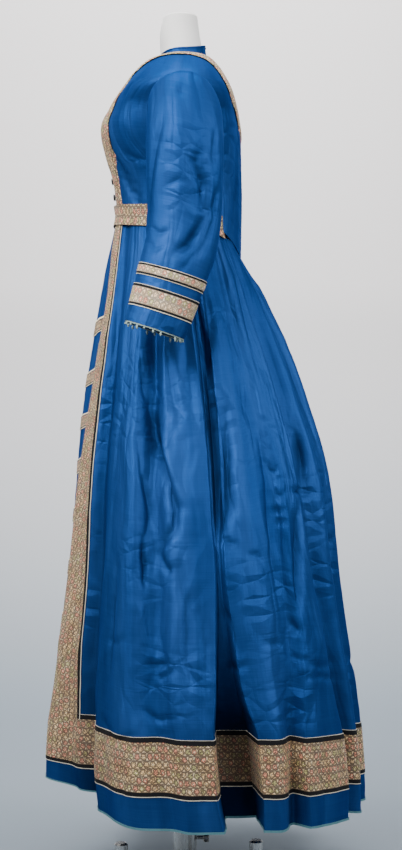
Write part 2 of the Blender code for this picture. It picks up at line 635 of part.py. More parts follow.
def sleeve_levels():
    """Rows of the sleeve from its edge up, with one at each edge of a band."""
    marks = [0, CUFF_BLUE, CUFF_BLUE + CUFF_LOWER, CUFF_BLUE + CUFF_LOWER + CUFF_SPACE,
             CUFF_BLUE + CUFF_LOWER + CUFF_SPACE + CUFF_UPPER]
    return [sleeve_level(mark) for mark in marks] + [6, 5.5, 5, 4, 3, 2, 1.5, 1, 0.5, 0]


def sleeve_sheet():
    """The whole left sleeve as one closed sheet, its columns a turn apart."""
    turns = range(0, 360, TURN)
    return sheet_of([[sleeve_point(turn, level) for turn in turns] for level in sleeve_levels()], True)


def build_sleeves(collection):
    sheet = sleeve_sheet()
    count = len(sheet.points[0])
    every = range(len(sheet.points))
    upper = [turn // TURN for turn in range(FRONT_SEAM, 361 - FRONT_SEAM, TURN)]
    under = [turn // TURN % count for turn in range(-FRONT_SEAM, FRONT_SEAM + 1, TURN)]
    around = under + upper[1:]
    for side, word in ((1, "left"), (-1, "right")):
        for name, columns in (("upper", upper), ("under", under)):
            piece = drawn_in(picked(sheet, every, columns), ("first", "last"))
            cloth(collection, f"sleeve_{name}_{word}", piece, BLUE, side=side)
        trim(collection, f"cuff_band_lower_{word}", picked(sheet, (1, 2), around), BORDER,
             ("first", "last"), side)
        trim(collection, f"cuff_band_upper_{word}", picked(sheet, (3, 4), around), BORDER,
             ("first", "last"), side)


def build_cuff_edging(collection):
    """A narrow strip below each sleeve edge, with short tapered locks drawn down from it."""
    locks, strip, drop, wall = 20, 0.0025, 0.0065, 0.0014
    pitch = math.radians(SLEEVE[-1].pitch)
    down = Vector((0, -math.sin(pitch), -math.cos(pitch)))
    centre = Vector((SLEEVE[-1].x, SLEEVE[-1].y, SLEEVE[-1].z))
    for side, word in ((1, "left"), (-1, "right")):
        made = bmesh.new()
        corners = []
        for k in range(locks * 2):
            turn = 360 * (k + 0.25 * (k % 2)) / (locks * 2)
            edge = sleeve_point(turn, SLEEVE_EDGE)
            inward = (centre - edge).normalized()
            four = [edge + inward * 0.0003 + down * SEAM, edge + inward * wall + down * SEAM]
            four += [p + down * strip for p in reversed(four)]
            corners.append([made.verts.new((p.x * side, p.y, p.z)) for p in four])
        feet = []
        for k, here in enumerate(corners):
            there = corners[(k + 1) % len(corners)]
            for a, b in ((0, 1), (1, 2), (2, 3), (3, 0)):
                face = made.faces.new((here[a], here[b], there[b], there[a]))
                if a == 2 and k % 2 == 0:
                    feet.append(face)
        bmesh.ops.recalc_face_normals(made, faces=made.faces)
        for number, face in enumerate(feet):
            lock = bmesh.ops.extrude_discrete_faces(made, faces=[face])["faces"][0]
            middle = lock.calc_center_median()
            length = drop * (0.75 + 0.25 * math.cos(number * 2.1))
            for vertex in lock.verts:
                vertex.co = middle + (vertex.co - middle) * 0.35 + down * length
        mesh = bpy.data.meshes.new(f"cuff_edging_{word}")
        made.to_mesh(mesh)
        made.free()
        solid(collection, f"cuff_edging_{word}", mesh, EDGING)


def loft(collection, name, rings, finish):
    """A closed solid through rings of points, capped at both ends."""
    made = bmesh.new()
    loops = [[made.verts.new(point) for point in ring] for ring in rings]
    for low, high in zip(loops, loops[1:]):
        for k in range(len(low)):
            n = (k + 1) % len(low)
            made.faces.new((low[k], low[n], high[n], high[k]))
    made.faces.new(list(reversed(loops[0])))
    made.faces.new(loops[-1])
    bmesh.ops.recalc_face_normals(made, faces=made.faces)
    mesh = bpy.data.meshes.new(name)
    made.to_mesh(mesh)
    made.free()
    mesh.shade_smooth()
    return solid(collection, name, mesh, finish)


def inset(ring, depth):
    """A ring drawn in by a depth all round and a little down."""
    return ring._replace(half_width=ring.half_width - depth, y_front=ring.y_front + depth,
                         y_back=ring.y_back - depth)


def build_form(collection):
    angles = bodice_columns(PANEL_COLUMNS, 0)
    angles += list(reversed(bodice_columns(PANEL_COLUMNS, 180)))[1:]
    angles += [360 - angle for angle in reversed(angles[1:-1])]
    points = [[outline(ring, angle) for angle in angles] for ring in FORM_HIPS]
    for level in [level for level, _ in bodice_rows()]:
        ring = ring_at(BODICE, level)
        depth = spline(FORM_INSET, level)
        sunk = depth if level >= 4 else 0.0
        ring = inset(ring, depth)
        ring = ring._replace(z_front=ring.z_front - sunk, z_side=ring.z_side - sunk,
                             z_back=ring.z_back - sunk)
        points.append([outline(ring, angle, cleft(level, angle)) for angle in angles])
    points += [[outline(ring, angle) for angle in angles] for ring in FORM_NECK]
    loft(collection, "form_torso", points, FORM)


def turned(collection, name, profile, finish, segments):
    """A solid of revolution about Z. The profile runs down its outer side and ends on the axis."""
    mesh = bpy.data.meshes.new(name)
    made = bmesh.new()
    line = [made.verts.new((radius, 0, height)) for radius, height in profile]
    for a, b in zip(line, line[1:]):
        made.edges.new((a, b))
    made.to_mesh(mesh)
    made.free()
    piece = solid(collection, name, mesh, finish)
    screw = piece.modifiers.new("turn", "SCREW")
    screw.steps = screw.render_steps = segments
    screw.use_merge_vertices = True
    screw.merge_threshold = 0.0001
    return piece


def build_stand(collection):
    seat = FORM_HIPS[0].z_side
    pole_foot = BASE_HEIGHT + 0.030
    turned(collection, "stand_pole", [(0, seat - SEAM), (POLE_RADIUS, seat - SEAM),
           (POLE_RADIUS, pole_foot), (0, pole_foot)], STEEL, 20)
    rim = 0.001
    floor = BASE_HEIGHT + SEAM
    bore = POLE_RADIUS + SEAM
    turned(collection, "stand_socket", [
        (bore, SOCKET_TOP), (SOCKET_RADIUS - rim, SOCKET_TOP), (SOCKET_RADIUS, SOCKET_TOP - rim),
        (SOCKET_RADIUS, floor + 0.008), (HUB_RADIUS, floor + 0.006), (HUB_RADIUS, floor),
        (0, floor), (0, pole_foot - SEAM), (bore, pole_foot - SEAM), (bore, SOCKET_TOP)],
        STEEL, 20)
    screw = turned(collection, "stand_thumbscrew", [
        (0, 0.022), (0.0075, 0.022), (0.0085, 0.020), (0.0085, 0.014), (0.0075, 0.012),
        (0.0035, 0.012), (0.0035, 0), (0, 0)], STEEL, 12)
    screw.location = (0, SOCKET_RADIUS + SEAM, 0.078)
    screw.rotation_euler = (math.radians(-90), 0, 0)
    for word, turn in (("front", BASE_TURN - 90), ("back", BASE_TURN)):
        turn = math.radians(turn)
        post = turned(collection, f"stand_post_{word}", [
            (0, POST_TOP), (POST_RADIUS - 0.003, POST_TOP), (POST_RADIUS, POST_TOP - 0.003),
            (POST_RADIUS, floor), (0, floor)], STEEL, 12)
        post.location = (BASE_REACH * math.cos(turn), BASE_REACH * math.sin(turn), 0)
    build_base(collection)


def build_base(collection):
    """A flat cross on the floor with round ends, as one outline."""
    outline_points = []
    rounding = 6
    for quarter in range(4):
        centre = math.radians(BASE_TURN + 90 * quarter)
        tip = Vector((math.cos(centre), math.sin(centre))) * BASE_REACH
        for k in range(rounding + 1):
            turn = centre - math.pi / 2 + math.pi * k / rounding
            outline_points.append(tip + Vector((math.cos(turn), math.sin(turn))) * BASE_ARM * 1.1)
        inner = centre + math.pi / 4
        outline_points.append(Vector((math.cos(inner), math.sin(inner))) * HUB_RADIUS * 1.1)
    curve = bpy.data.curves.new("stand_base", "CURVE")
    curve.dimensions = "2D"
    curve.fill_mode = "BOTH"
    curve.extrude = BASE_HEIGHT / 2
    line = curve.splines.new("POLY")
    line.points.add(len(outline_points) - 1)
    for point, place in zip(line.points, outline_points):
        point.co = (place.x, place.y, 0, 1)
    line.use_cyclic_u = True
    base = bpy.data.objects.new("stand_base", curve)
    curve.materials.append(material(IRON))
    base.location = (0, 0, BASE_HEIGHT / 2)
    collection.objects.link(base)


def main():
    clear_scene()
    collection = new_collection("dress_on_form")
    build_form(collection)
    build_stand(collection)
    build_bodice(collection)
    build_collar(collection)
    build_sleeves(collection)
    build_cuff_edging(collection)
    skirt = skirt_sheet()
    build_skirt(collection, skirt)
    build_borders(collection, skirt)
    build_ladder(collection, skirt)
    build_straps(collection)
    build_belt(collection)
    build_buttons(collection)


main()
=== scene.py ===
"""The look of a blue silk dress on a limbless dress form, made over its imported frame.

Units are metres, +Z is up, the dress faces -Y and its wearer's left is +X. Each sheet of cloth
lies on the form of its solid in the frame, with finer folds, creases, borders and finishes.
"""

import logging
import math
from dataclasses import dataclass, field
from enum import Enum
from typing import Iterable, Optional, Sequence

import bmesh
import bpy
import numpy as np
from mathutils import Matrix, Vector, noise


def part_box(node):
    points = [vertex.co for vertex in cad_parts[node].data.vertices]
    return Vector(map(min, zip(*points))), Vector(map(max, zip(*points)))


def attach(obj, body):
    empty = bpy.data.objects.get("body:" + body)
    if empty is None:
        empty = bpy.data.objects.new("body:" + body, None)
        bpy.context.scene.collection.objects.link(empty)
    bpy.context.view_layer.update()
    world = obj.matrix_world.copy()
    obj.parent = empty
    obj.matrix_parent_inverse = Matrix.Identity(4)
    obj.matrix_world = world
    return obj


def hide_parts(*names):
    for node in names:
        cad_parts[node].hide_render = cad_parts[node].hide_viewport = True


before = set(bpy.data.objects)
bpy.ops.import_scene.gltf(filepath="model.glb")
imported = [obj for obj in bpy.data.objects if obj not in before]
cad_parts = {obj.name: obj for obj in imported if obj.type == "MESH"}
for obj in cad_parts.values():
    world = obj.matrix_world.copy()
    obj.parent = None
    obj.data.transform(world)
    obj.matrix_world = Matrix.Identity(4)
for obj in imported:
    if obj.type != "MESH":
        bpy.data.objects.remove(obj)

logging.basicConfig(level=logging.INFO, format="%(message)s")
log = logging.getLogger("dress")

CLOTH = 0.0012          # thickness of a panel's cloth
TRIM = 0.0007           # thickness of a border, ribbon or belt
LIFT = 0.0007           # how far a border's back face lies above the cloth
RIM_ANGLE = 62          # degrees, above which an edge of a sheet is kept crisp
CREASE_GAIN = 1.35      # how much deeper every crease is made than its own depth
CREASE_FALL = 1.5       # power by which a crease's depth falls away to its sides
CREASE_END = 0.6        # power by which it fades out towards both ends
CREASE_SHADE = 62.0     # how much painted shade a metre of a crease's depth gives
PAINTED_SHADE_START, PAINTED_SHADE_DEPTH = 0.014, 0.066   # metres in, where painted shade starts in a fold, and over which it deepens to full
UP = np.array([0.0, 0.0, 1.0])


class Side(Enum):
    """A side of the wearer, with the sign of its X."""

    LEFT = 1
    RIGHT = -1

    @property
    def word(self) -> str:
        """The side's name in lower case, as the solids' names hold it."""
        return self.name.lower()


@dataclass(frozen=True)
class Ring:
    """One level round the body: heights at front, side and back, and the outline's reach."""

    name: str
    z_front: float
    z_side: float
    z_back: float
    half_width: float
    y_front: float
    y_side: float
    y_back: float
    square: float

    def row(self) -> list[float]:
        """The ring's values, in the order in which outline reads them."""
        return [self.z_front, self.z_side, self.z_back, self.half_width,
                self.y_front, self.y_side, self.y_back, self.square]


WAIST = Ring("waist", 1.2240, 1.2050, 1.1420, 0.135, -0.124, -0.005, 0.103, 2.1)
BODICE = [
    WAIST,
    Ring("rib", 1.2850, 1.2800, 1.2400, 0.140, -0.134, -0.008, 0.105, 2.1),
    Ring("bust", 1.3700, 1.3550, 1.3200, 0.158, -0.156, -0.012, 0.104, 2.2),
    Ring("armpit", 1.4120, 1.4000, 1.3800, 0.170, -0.139, -0.012, 0.101, 2.3),
    Ring("shoulder", 1.4500, 1.4400, 1.4450, 0.192, -0.112, -0.006, 0.087, 2.4),
    Ring("slope", 1.4840, 1.4920, 1.4950, 0.125, -0.084, -0.003, 0.063, 2.2),
    Ring("neck", 1.4970, 1.5090, 1.5220, 0.066, -0.053, -0.009, 0.040, 2.0),
]
SKIRT = [
    WAIST,
    Ring("hip", 1.1000, 1.0850, 1.0400, 0.168, -0.148, 0.000, 0.164, 2.2),
    Ring("high", 0.9300, 0.9150, 0.8850, 0.220, -0.178, 0.010, 0.225, 2.3),
    Ring("thigh", 0.7600, 0.7500, 0.7300, 0.280, -0.200, 0.020, 0.266, 2.3),
    Ring("knee", 0.5900, 0.5750, 0.5550, 0.330, -0.213, 0.030, 0.283, 2.3),
    Ring("shin", 0.4200, 0.4100, 0.3850, 0.372, -0.232, 0.035, 0.309, 2.3),
    Ring("border_top", 0.3450, 0.3410, 0.3030, 0.390, -0.241, 0.038, 0.318, 2.3),
    Ring("border_foot", 0.2550, 0.2490, 0.2110, 0.405, -0.249, 0.040, 0.324, 2.3),
    Ring("hem", 0.2280, 0.1980, 0.1630, 0.412, -0.250, 0.040, 0.326, 2.3),
]
BORDER_TOP, BORDER_FOOT, HEM_LEVEL = 6, 7, 8
FOLD_STEP = 2           # levels between the five places where a fold's line is given
RIBBON = 0.1            # share of the hem border's height that each ribbon takes


@dataclass(frozen=True)
class Fold:
    """A line down the skirt: its angle from the front and its depth in mm, at five levels.

    Its steps are the columns up to the next line, and 0 where ribbon and border share the step.
    """

    name: str
    angles: tuple[float, ...]
    depths: tuple[float, ...]
    steps: int


FRONT_FOLDS = [
    Fold("centre_front", (0, 0, 0, 0, 0), (0, 0, 12, 18, 18), 14),
    Fold("front_edge", (14.5, 23, 23.5, 24.2, 25), (0, 12, 3, 0, 0), 12),
]
BACK_FOLD = Fold("centre_back", (180, 180, 180, 180, 180), (6, 20, 20, 20, 20), 0)
FOLDS = {
    Side.LEFT: [
        *FRONT_FOLDS,
        Fold("border_edge", (32.5, 36.5, 38, 39.5, 41), (0, 13, 24, 37, 50), 0),
        Fold("front_valley", (40, 44, 46, 48, 50), (4, 30, 48, 67, 87), 14),
        Fold("near_edge", (52, 57, 58, 59.2, 60.5), (0, 6, 16, 26, 35), 9),
        Fold("near_ridge", (62, 66, 69, 71.6, 74), (0, 0, 0, 0, 0), 11),
        Fold("side_crease", (69, 73, 76, 79, 82), (6, 24, 20, 17, 14), 9),
        Fold("side_ridge", (76, 80, 83, 85.2, 87), (0, 0, 0, 0, 0), 9),
        Fold("side_edge", (87, 94, 93.8, 91.4, 93.6), (0, 0, 0, 0, 2), 20),
        Fold("deep_front", (92, 96.2, 94.8, 92.8, 95.5), (6, 18, 14, 82, 98), 12),
        Fold("deep_back", (96, 98.6, 96.2, 103, 105.5), (6, 18, 14, 82, 98), 18),
        Fold("back_edge", (101, 101.5, 97.8, 102.6, 103), (0, 0, 3, 5, 6), 6),
        Fold("back_ridge", (107, 108.5, 104.5, 106.8, 106.5), (0, 0, 0, 0, 0), 12),
        Fold("back_crease", (113, 117, 116, 113, 112.5), (4, 8, 14, 26, 34), 12),
        Fold("broad_edge", (118, 122.5, 120, 116, 115.5), (0, 0, 0, 0, 0), 14),
        Fold("broad_back", (124, 129, 128, 132, 131), (0, 0, 0, 0, 0), 10),
        Fold("pleat_valley", (131, 134.5, 134.5, 136.8, 136), (6, 22, 26, 36, 40), 10),
        Fold("pleat_ridge", (140, 144, 144, 143.8, 143.5), (0, 0, 0, 0, 0), 11),
        Fold("centre_valley", (150, 154, 154.3, 154.6, 155), (6, 20, 25, 30, 35), 12),
        Fold("centre_ridge", (162, 166, 166.7, 167.4, 168), (0, 0, 0, 0, 0), 9),
        BACK_FOLD,
    ],
    Side.RIGHT: [
        *FRONT_FOLDS,
        Fold("border_edge", (32.5, 36.5, 38, 39.5, 41), (0, 13, 24, 35, 46), 0),
        Fold("front_valley", (40, 45, 47, 49, 51), (4, 26, 43, 60, 76), 12),
        Fold("near_edge", (51, 56, 58, 60, 62), (0, 5, 12, 19, 26), 8),
        Fold("near_ridge", (60, 65, 67, 69, 71), (0, 0, 0, 0, 0), 9),
        Fold("side_crease", (67, 72, 74, 76, 78), (6, 24, 26, 28, 30), 10),
        Fold("side_ridge", (75, 79, 81.5, 84, 86), (0, 0, 0, 0, 0), 9),
        Fold("side_edge", (86, 90, 91, 92, 93), (0, 0, 0, 0, 0), 16),
        Fold("deep_front", (91, 95, 95.5, 96.2, 97), (6, 30, 48, 70, 92), 8),
        Fold("deep_back", (95, 98, 99, 100, 101), (6, 30, 48, 70, 92), 16),
        Fold("back_edge", (101, 103, 104, 104.8, 105.5), (0, 0, 2, 5, 8), 6),
        Fold("back_ridge", (106, 109, 109.3, 109.6, 110), (0, 0, 0, 0, 0), 10),
        Fold("back_crease", (112, 115, 115, 115, 115), (4, 16, 25, 35, 44), 12),
        Fold("broad_edge", (118, 120, 120, 120, 120), (0, 0, 0, 0, 0), 9),
        Fold("broad_back", (125, 129, 129.3, 129.6, 130), (0, 0, 0, 0, 0), 9),
        Fold("pleat_valley", (132, 136, 136.3, 136.6, 137), (6, 20, 29, 38, 46), 12),
        Fold("pleat_ridge", (141, 145, 145.3, 145.6, 146), (0, 0, 0, 0, 0), 12),
        Fold("centre_valley", (151, 155, 156, 157, 158), (6, 22, 25, 28, 30), 10),
        Fold("centre_ridge", (163, 167, 167.6, 168.3, 169), (0, 0, 0, 0, 0), 9),
        BACK_FOLD,
    ],
}
RIBBON_COLUMNS = [k / 10 for k in range(10)]    # shares of the step that a ribbon starts in
FRONT_EDGE, BORDER_EDGE, SIDE_SEAM, CENTRE_BACK = 1, 2, 10, 20
RIBBON_END = BORDER_EDGE + 0.2
FINER = 2               # how many times finer the columns are on the left, which the photo shows

# The armhole is an oval on the bodice: its middle and its reach, in levels and in degrees.
ARMHOLE_LEVEL, ARMHOLE_LEVELS = 2.65, 1.35
ARMHOLE_ANGLE, ARMHOLE_ANGLES = 91.0, 19.0
NECK_LEVEL = len(BODICE) - 1


@dataclass(frozen=True)
class ArmRing:
    """One ring of a sleeve: centre, lean of its outer side, forward pitch and half sizes."""

    name: str
    x: float
    y: float
    z: float
    lean: float
    pitch: float
    depth: float
    width: float


SLEEVE = [
    ArmRing("cap", 0.2030, 0.0000, 1.3770, 62, 0, 0.062, 0.0660),
    ArmRing("shoulder", 0.2180, 0.0020, 1.3360, 34, 0, 0.066, 0.0590),
    ArmRing("upper_arm", 0.2270, 0.0030, 1.2800, 9, 0, 0.066, 0.0520),
    ArmRing("arm", 0.2320, 0.0020, 1.2000, 0, 2, 0.063, 0.0480),
    ArmRing("elbow", 0.2400, -0.0040, 1.1420, 0, 9, 0.061, 0.0460),
    ArmRing("forearm", 0.2470, -0.0130, 1.1090, 0, 16, 0.059, 0.0450),
    ArmRing("edge", 0.2600, -0.0470, 0.9990, 0, 18, 0.052, 0.0440),
]
SLEEVE_EDGE = len(SLEEVE)
FOREARM = 0.115         # length of the straight part of the sleeve, up from its edge
CUFF_BLUE, CUFF_LOWER, CUFF_SPACE, CUFF_UPPER = 0.026, 0.034, 0.015, 0.022
CUFF_RIBBON = 0.0046


@dataclass(frozen=True)
class Stop:
    """A point of a strap's centre line: a level of the bodice and an angle from the front."""

    level: float
    angle: float


STRAP = [
    Stop(0.12, 24.0), Stop(0.7, 25.5), Stop(1.4, 27.5), Stop(2.1, 29.5), Stop(2.8, 31.0),
    Stop(3.5, 33.0), Stop(4.1, 37.0), Stop(4.65, 44.0), Stop(5.1, 57.0), Stop(5.35, 74.0),
    Stop(5.35, 92.0), Stop(5.1, 109.0), Stop(4.65, 121.0), Stop(4.0, 132.0), Stop(3.5, 146.0),
    Stop(3.1, 161.0), Stop(2.95, 173.0),
]
STRAP_WIDTH = 0.044
CLEFT = (0.0, 4.0, 11.0, 11.0, 7.0, 2.0, 0.0)   # mm that the centre front dips, at each ring
CLEFT_REACH = 13.0      # degrees to each side over which that dip fades
LADDER_LEVELS = [1.45, 1.99, 2.46, 2.94, 3.46, 4.0, 4.52]
LADDER_WIDTH, LADDER_POINT = 0.026, 0.010       # how far each band dips at the centre front
LEVEL_FALL = 0.165      # height of one level of the skirt's front
BUTTON_LEVELS = [0.62, 1.06, 1.5, 1.94, 2.5, 3.2, 4.0]
BELT_REACH, BELT_ABOVE, BELT_BELOW = 124, 0.30, 0.16    # degrees each way, and its edges in levels


def spline(values: np.ndarray, positions: np.ndarray) -> np.ndarray:
    """A smooth curve through values at whole positions.

    Args:
        values: One row for each position 0, 1, 2 ..., of any shape.
        positions: Where to read the curve.

    Returns:
        One row for each position asked for.
    """
    values = np.asarray(values, float)
    last = len(values) - 1
    positions = np.clip(np.asarray(positions, float), 0, last)
    start = np.minimum(positions.astype(int), last - 1)
    ends = np.concatenate([[values[0] * 2 - values[1]], values, [values[-1] * 2 - values[-2]]])
    before, here, after, beyond = (ends[start + k] for k in range(4))
    t = (positions - start).reshape((-1,) + (1,) * (values.ndim - 1))
    slope = (after - before) * t
    bend = (before * 2 - here * 5 + after * 4 - beyond) * t ** 2
    twist = (here * 3 - before - after * 3 + beyond) * t ** 3
    return here + (slope + bend + twist) * 0.5


def outline(rows: np.ndarray, angles: np.ndarray, depths: np.ndarray | float = 0.0) -> np.ndarray:
    """Points of rings at angles from the front.

    Args:
        rows: Ring values, with shape (..., 8).
        angles: Degrees from the centre front.
        depths: How far each point is sunk in, in metres.

    Returns:
        Points with shape (..., 3).
    """
    z_front, z_side, z_back, half, y_front, y_side, y_back, square = np.moveaxis(rows, -1, 0)
    turn = np.radians(angles)
    sine, cosine = np.sin(turn), np.cos(turn)
    reach = np.where(cosine > 0, y_side - y_front, y_back - y_side)
    wide = (np.abs(sine) / half) ** square + (np.abs(cosine) / reach) ** square
    radius = wide ** (-1 / square) - depths
    end = np.where(cosine > 0, z_front, z_back)
    height = z_side + (end - z_side) * cosine ** 2
    return np.stack([radius * sine, y_side - radius * cosine, height], -1)


BODICE_ROWS = np.array([ring.row() for ring in BODICE])
SKIRT_ROWS = np.array([ring.row() for ring in SKIRT])


def cleft(levels: np.ndarray, angles: np.ndarray) -> np.ndarray:
    """How far the bodice is drawn in between the breasts.

    Args:
        levels: Levels of the bodice.
        angles: Degrees from the centre front, of the same shape.

    Returns:
        Depths in metres.
    """
    turn = np.minimum(np.abs(angles), 360 - np.abs(angles)) / CLEFT_REACH
    dips = spline(np.array(CLEFT), levels.ravel()).reshape(levels.shape) / 1000
    return dips * np.exp(-turn * turn)


def bodice_points(levels: np.ndarray, angles: np.ndarray) -> np.ndarray:
    """Points of the bodice's smooth form.

    Args:
        levels: Levels of the bodice.
        angles: Degrees from the centre front.

    Returns:
        Points with shape (..., 3).
    """
    levels, angles = np.broadcast_arrays(levels, angles)
    rows = spline(BODICE_ROWS, levels.ravel()).reshape(levels.shape + (8,))
    return outline(rows, angles, cleft(levels, angles))


def moved(level: np.ndarray, angle: np.ndarray, step: np.ndarray
          ) -> tuple[np.ndarray, np.ndarray]:
    """Moves places on the bodice by a short step along its surface.

    Args:
        level: The places' levels.
        angle: Their angles from the centre front.
        step: The step of each, as a vector in metres.

    Returns:
        The new levels and angles.
    """
    near, turn = 1e-3, 1e-2
    here = bodice_points(level, angle)
    rise = (bodice_points(level + near, angle) - here) / near
    around = (bodice_points(level, angle + turn) - here) / turn
    a, b, c = ((p * q).sum(-1) for p, q in ((rise, rise), (rise, around), (around, around)))
    d, e = (step * rise).sum(-1), (step * around).sum(-1)
    scale = a * c - b * b
    return (np.clip(level + (c * d - b * e) / scale, 0, NECK_LEVEL - 0.01),
            angle + (a * e - b * d) / scale)


def unit(vectors: np.ndarray) -> np.ndarray:
    """Vectors with the same directions and a length of one."""
    return vectors / np.maximum(np.linalg.norm(vectors, axis=-1, keepdims=True), 1e-12)


@dataclass
class Grid:
    """A surface as rows of points, upwards, whose columns run from the front to the left."""

    points: np.ndarray
    closed: bool = False
    shade: Optional[np.ndarray] = None

    def __post_init__(self) -> None:
        """Works out the outward normals from the neighbouring points."""
        points = self.points
        if self.closed:
            across = np.roll(points, -1, 1) - np.roll(points, 1, 1)
        else:
            across = np.gradient(points, axis=1)
        along = np.gradient(points, axis=0)
        self.normals = unit(np.cross(across, along))

    @classmethod
    def given(cls, points: np.ndarray, normals: np.ndarray, closed: bool = False,
              shade: Optional[np.ndarray] = None) -> "Grid":
        """A grid whose normals are already known.

        Args:
            points: Its points.
            normals: Its outward normals.
            closed: Whether its last column joins its first.
            shade: How much painted shade each point gets, from 0 to 1, for lying deep in a fold or
                crease, if that is known.

        Returns:
            The grid.
        """
        made = cls.__new__(cls)
        made.points, made.normals, made.closed, made.shade = points, normals, closed, shade
        return made

    def displaced(self, heights: np.ndarray) -> "Grid":
        """The grid with each point moved out by its own height."""
        return Grid(self.points + self.normals * heights[..., None], self.closed, self.shade)

    def block(self, rows: Sequence[int], columns: Sequence[int]) -> "Grid":
        """The part in these rows and columns, with the whole surface's normals."""
        pick = np.ix_(rows, columns)
        shade = None if self.shade is None else self.shade[pick]
        return Grid.given(self.points[pick], self.normals[pick], shade=shade)

    def lifted(self, distance: float) -> "Grid":
        """The grid moved out by one distance everywhere, with its normals kept."""
        points = self.points + self.normals * distance
        return Grid.given(points, self.normals, self.closed, self.shade)

    def mirrored(self) -> "Grid":
        """The same part on the other side of the body, its columns still running leftwards."""
        flip = np.array([-1.0, 1.0, 1.0])
        points, normals = ((values * flip)[:, ::-1] for values in (self.points, self.normals))
        shade = None if self.shade is None else self.shade[:, ::-1]
        return Grid.given(points, normals, self.closed, shade)

    def sampled(self, rows: np.ndarray) -> "Grid":
        """The grid read at fractional rows.

        Args:
            rows: A row of this grid for each point of the new one, with shape (rows, columns).

        Returns:
            The new grid, with no shade.
        """
        low = np.clip(np.floor(rows).astype(int), 0, len(self.points) - 2)
        share = (rows - low)[..., None]
        columns = np.arange(self.points.shape[1])[None, :]
        points, normals = (
            values[low, columns] * (1 - share) + values[low + 1, columns] * share
            for values in (self.points, self.normals))
        return Grid.given(points, unit(normals), self.closed)

    def area(self) -> float:
        """The area of the surface, in square metres."""
        points = self.points
        if self.closed:
            points = np.concatenate([points, points[:, :1]], 1)
        first = np.cross(points[:-1, 1:] - points[:-1, :-1], points[1:, :-1] - points[:-1, :-1])
        second = np.cross(points[1:, :-1] - points[1:, 1:], points[:-1, 1:] - points[1:, 1:])
        return float((np.linalg.norm(first, axis=-1) + np.linalg.norm(second, axis=-1)).sum() / 2)


class Along(Enum):
    """The way a pattern runs on a grid."""

    COLUMNS = 1
    ROWS = 0


def run_lengths(points: np.ndarray, axis: int) -> np.ndarray:
    """How far along its line each point of a grid lies.

    Args:
        points: The grid's points.
        axis: 0 for lines up the columns, 1 for lines along the rows.

    Returns:
        Lengths in metres, from 0 at each line's start.
    """
    lengths = np.linalg.norm(np.diff(points, axis=axis), axis=-1)
    start = np.zeros_like(np.take(lengths, [0], axis))
    return np.concatenate([start, np.cumsum(lengths, axis=axis)], axis=axis)


def cloth_map(points: np.ndarray, along: Along, from_end: bool = False) -> np.ndarray:
    """A flat map of a grid in metres: its first value runs along, its second across.

    Args:
        points: The grid's points.
        along: Whether the pattern runs along the columns or up the rows.
        from_end: Whether the second value starts at the last line.

    Returns:
        Values with shape (rows, columns, 2).
    """
    axis = along.value
    other = 1 - axis
    first = run_lengths(points, axis)
    first = np.broadcast_to(first.mean(axis=other, keepdims=True), first.shape)
    second = run_lengths(points, other)
    if from_end:
        second = np.take(second, [-1], other) - second
    return np.stack([first, second], -1)


@dataclass(frozen=True)
class Crease:
    """A soft trough along a path of angles and heights, or a ridge if its depth is negative."""

    path: tuple[tuple[float, float], ...]
    width_mm: float
    depth_mm: float

    def trough(self, gap: np.ndarray, where: np.ndarray) -> np.ndarray:
        """The crease's depth at points near it.

        Args:
            gap: How far each point lies from the path, in metres.
            where: The share of the path at which it lies, from 0 to 1.

        Returns:
            Depths in metres.
        """
        width = self.width_mm / 1000
        fade = np.sin(np.pi * np.clip(where, 0.02, 0.98)) ** CREASE_END
        return self.depth_mm / 1000 * np.exp(-(gap / width) ** CREASE_FALL) * fade * CREASE_GAIN


def creases(*rows: tuple) -> list[Crease]:
    """Creases from rows that hold a width and a depth in mm, then the path's points."""
    return [Crease(tuple(path), width, depth) for width, depth, *path in rows]


@dataclass
class Crumple:
    """The small uneven waves of crisp silk, as a height at each point."""

    coarse_mm: float = 1.6
    middle_mm: float = 1.1
    fine_mm: float = 0.45
    stretch: float = 2.4            # how much longer the waves are upwards than across
    shift: float = 0.0              # metres along X, so that the two sleeves differ
    coarse_waves: float = 9.0       # to a metre
    middle_waves: float = 21.0
    fine_waves: float = 46.0
    sharpness: float = 2.2          # how narrow the ridges of the two finer waves are

    def heights(self, points: np.ndarray) -> np.ndarray:
        """The waves' height at each point.

        Args:
            points: The grid's points.

        Returns:
            Heights in metres, with shape (rows, columns).
        """
        flat = points.reshape(-1, 3)
        made = np.empty(len(flat))
        for k, (x, y, z) in enumerate(flat):
            p = Vector((x + self.shift, y, z / self.stretch))
            coarse = noise.noise(p * self.coarse_waves)
            apart = p * self.middle_waves + Vector((3.1, 0, 7.7))
            middle = 1 - self.sharpness * abs(noise.noise(apart))
            tilted = Vector((p.x + p.z * 0.6, p.y, p.z * 2.2 - p.x * 0.4))
            fine = 1 - self.sharpness * abs(noise.noise(tilted * self.fine_waves))
            made[k] = coarse * self.coarse_mm + middle * self.middle_mm + fine * self.fine_mm
        return made.reshape(points.shape[:2]) / 1000


def path_points(crease: Crease, count: int) -> np.ndarray:
    """Evenly numbered points along a crease's path.

    Args:
        crease: The crease.
        count: How many points to give.

    Returns:
        Angles and heights, with shape (count, 2).
    """
    marks = np.array(crease.path, float)
    t = np.linspace(0, len(marks) - 1, count)
    return np.stack([np.interp(t, range(len(marks)), marks[:, k]) for k in (0, 1)], 1)


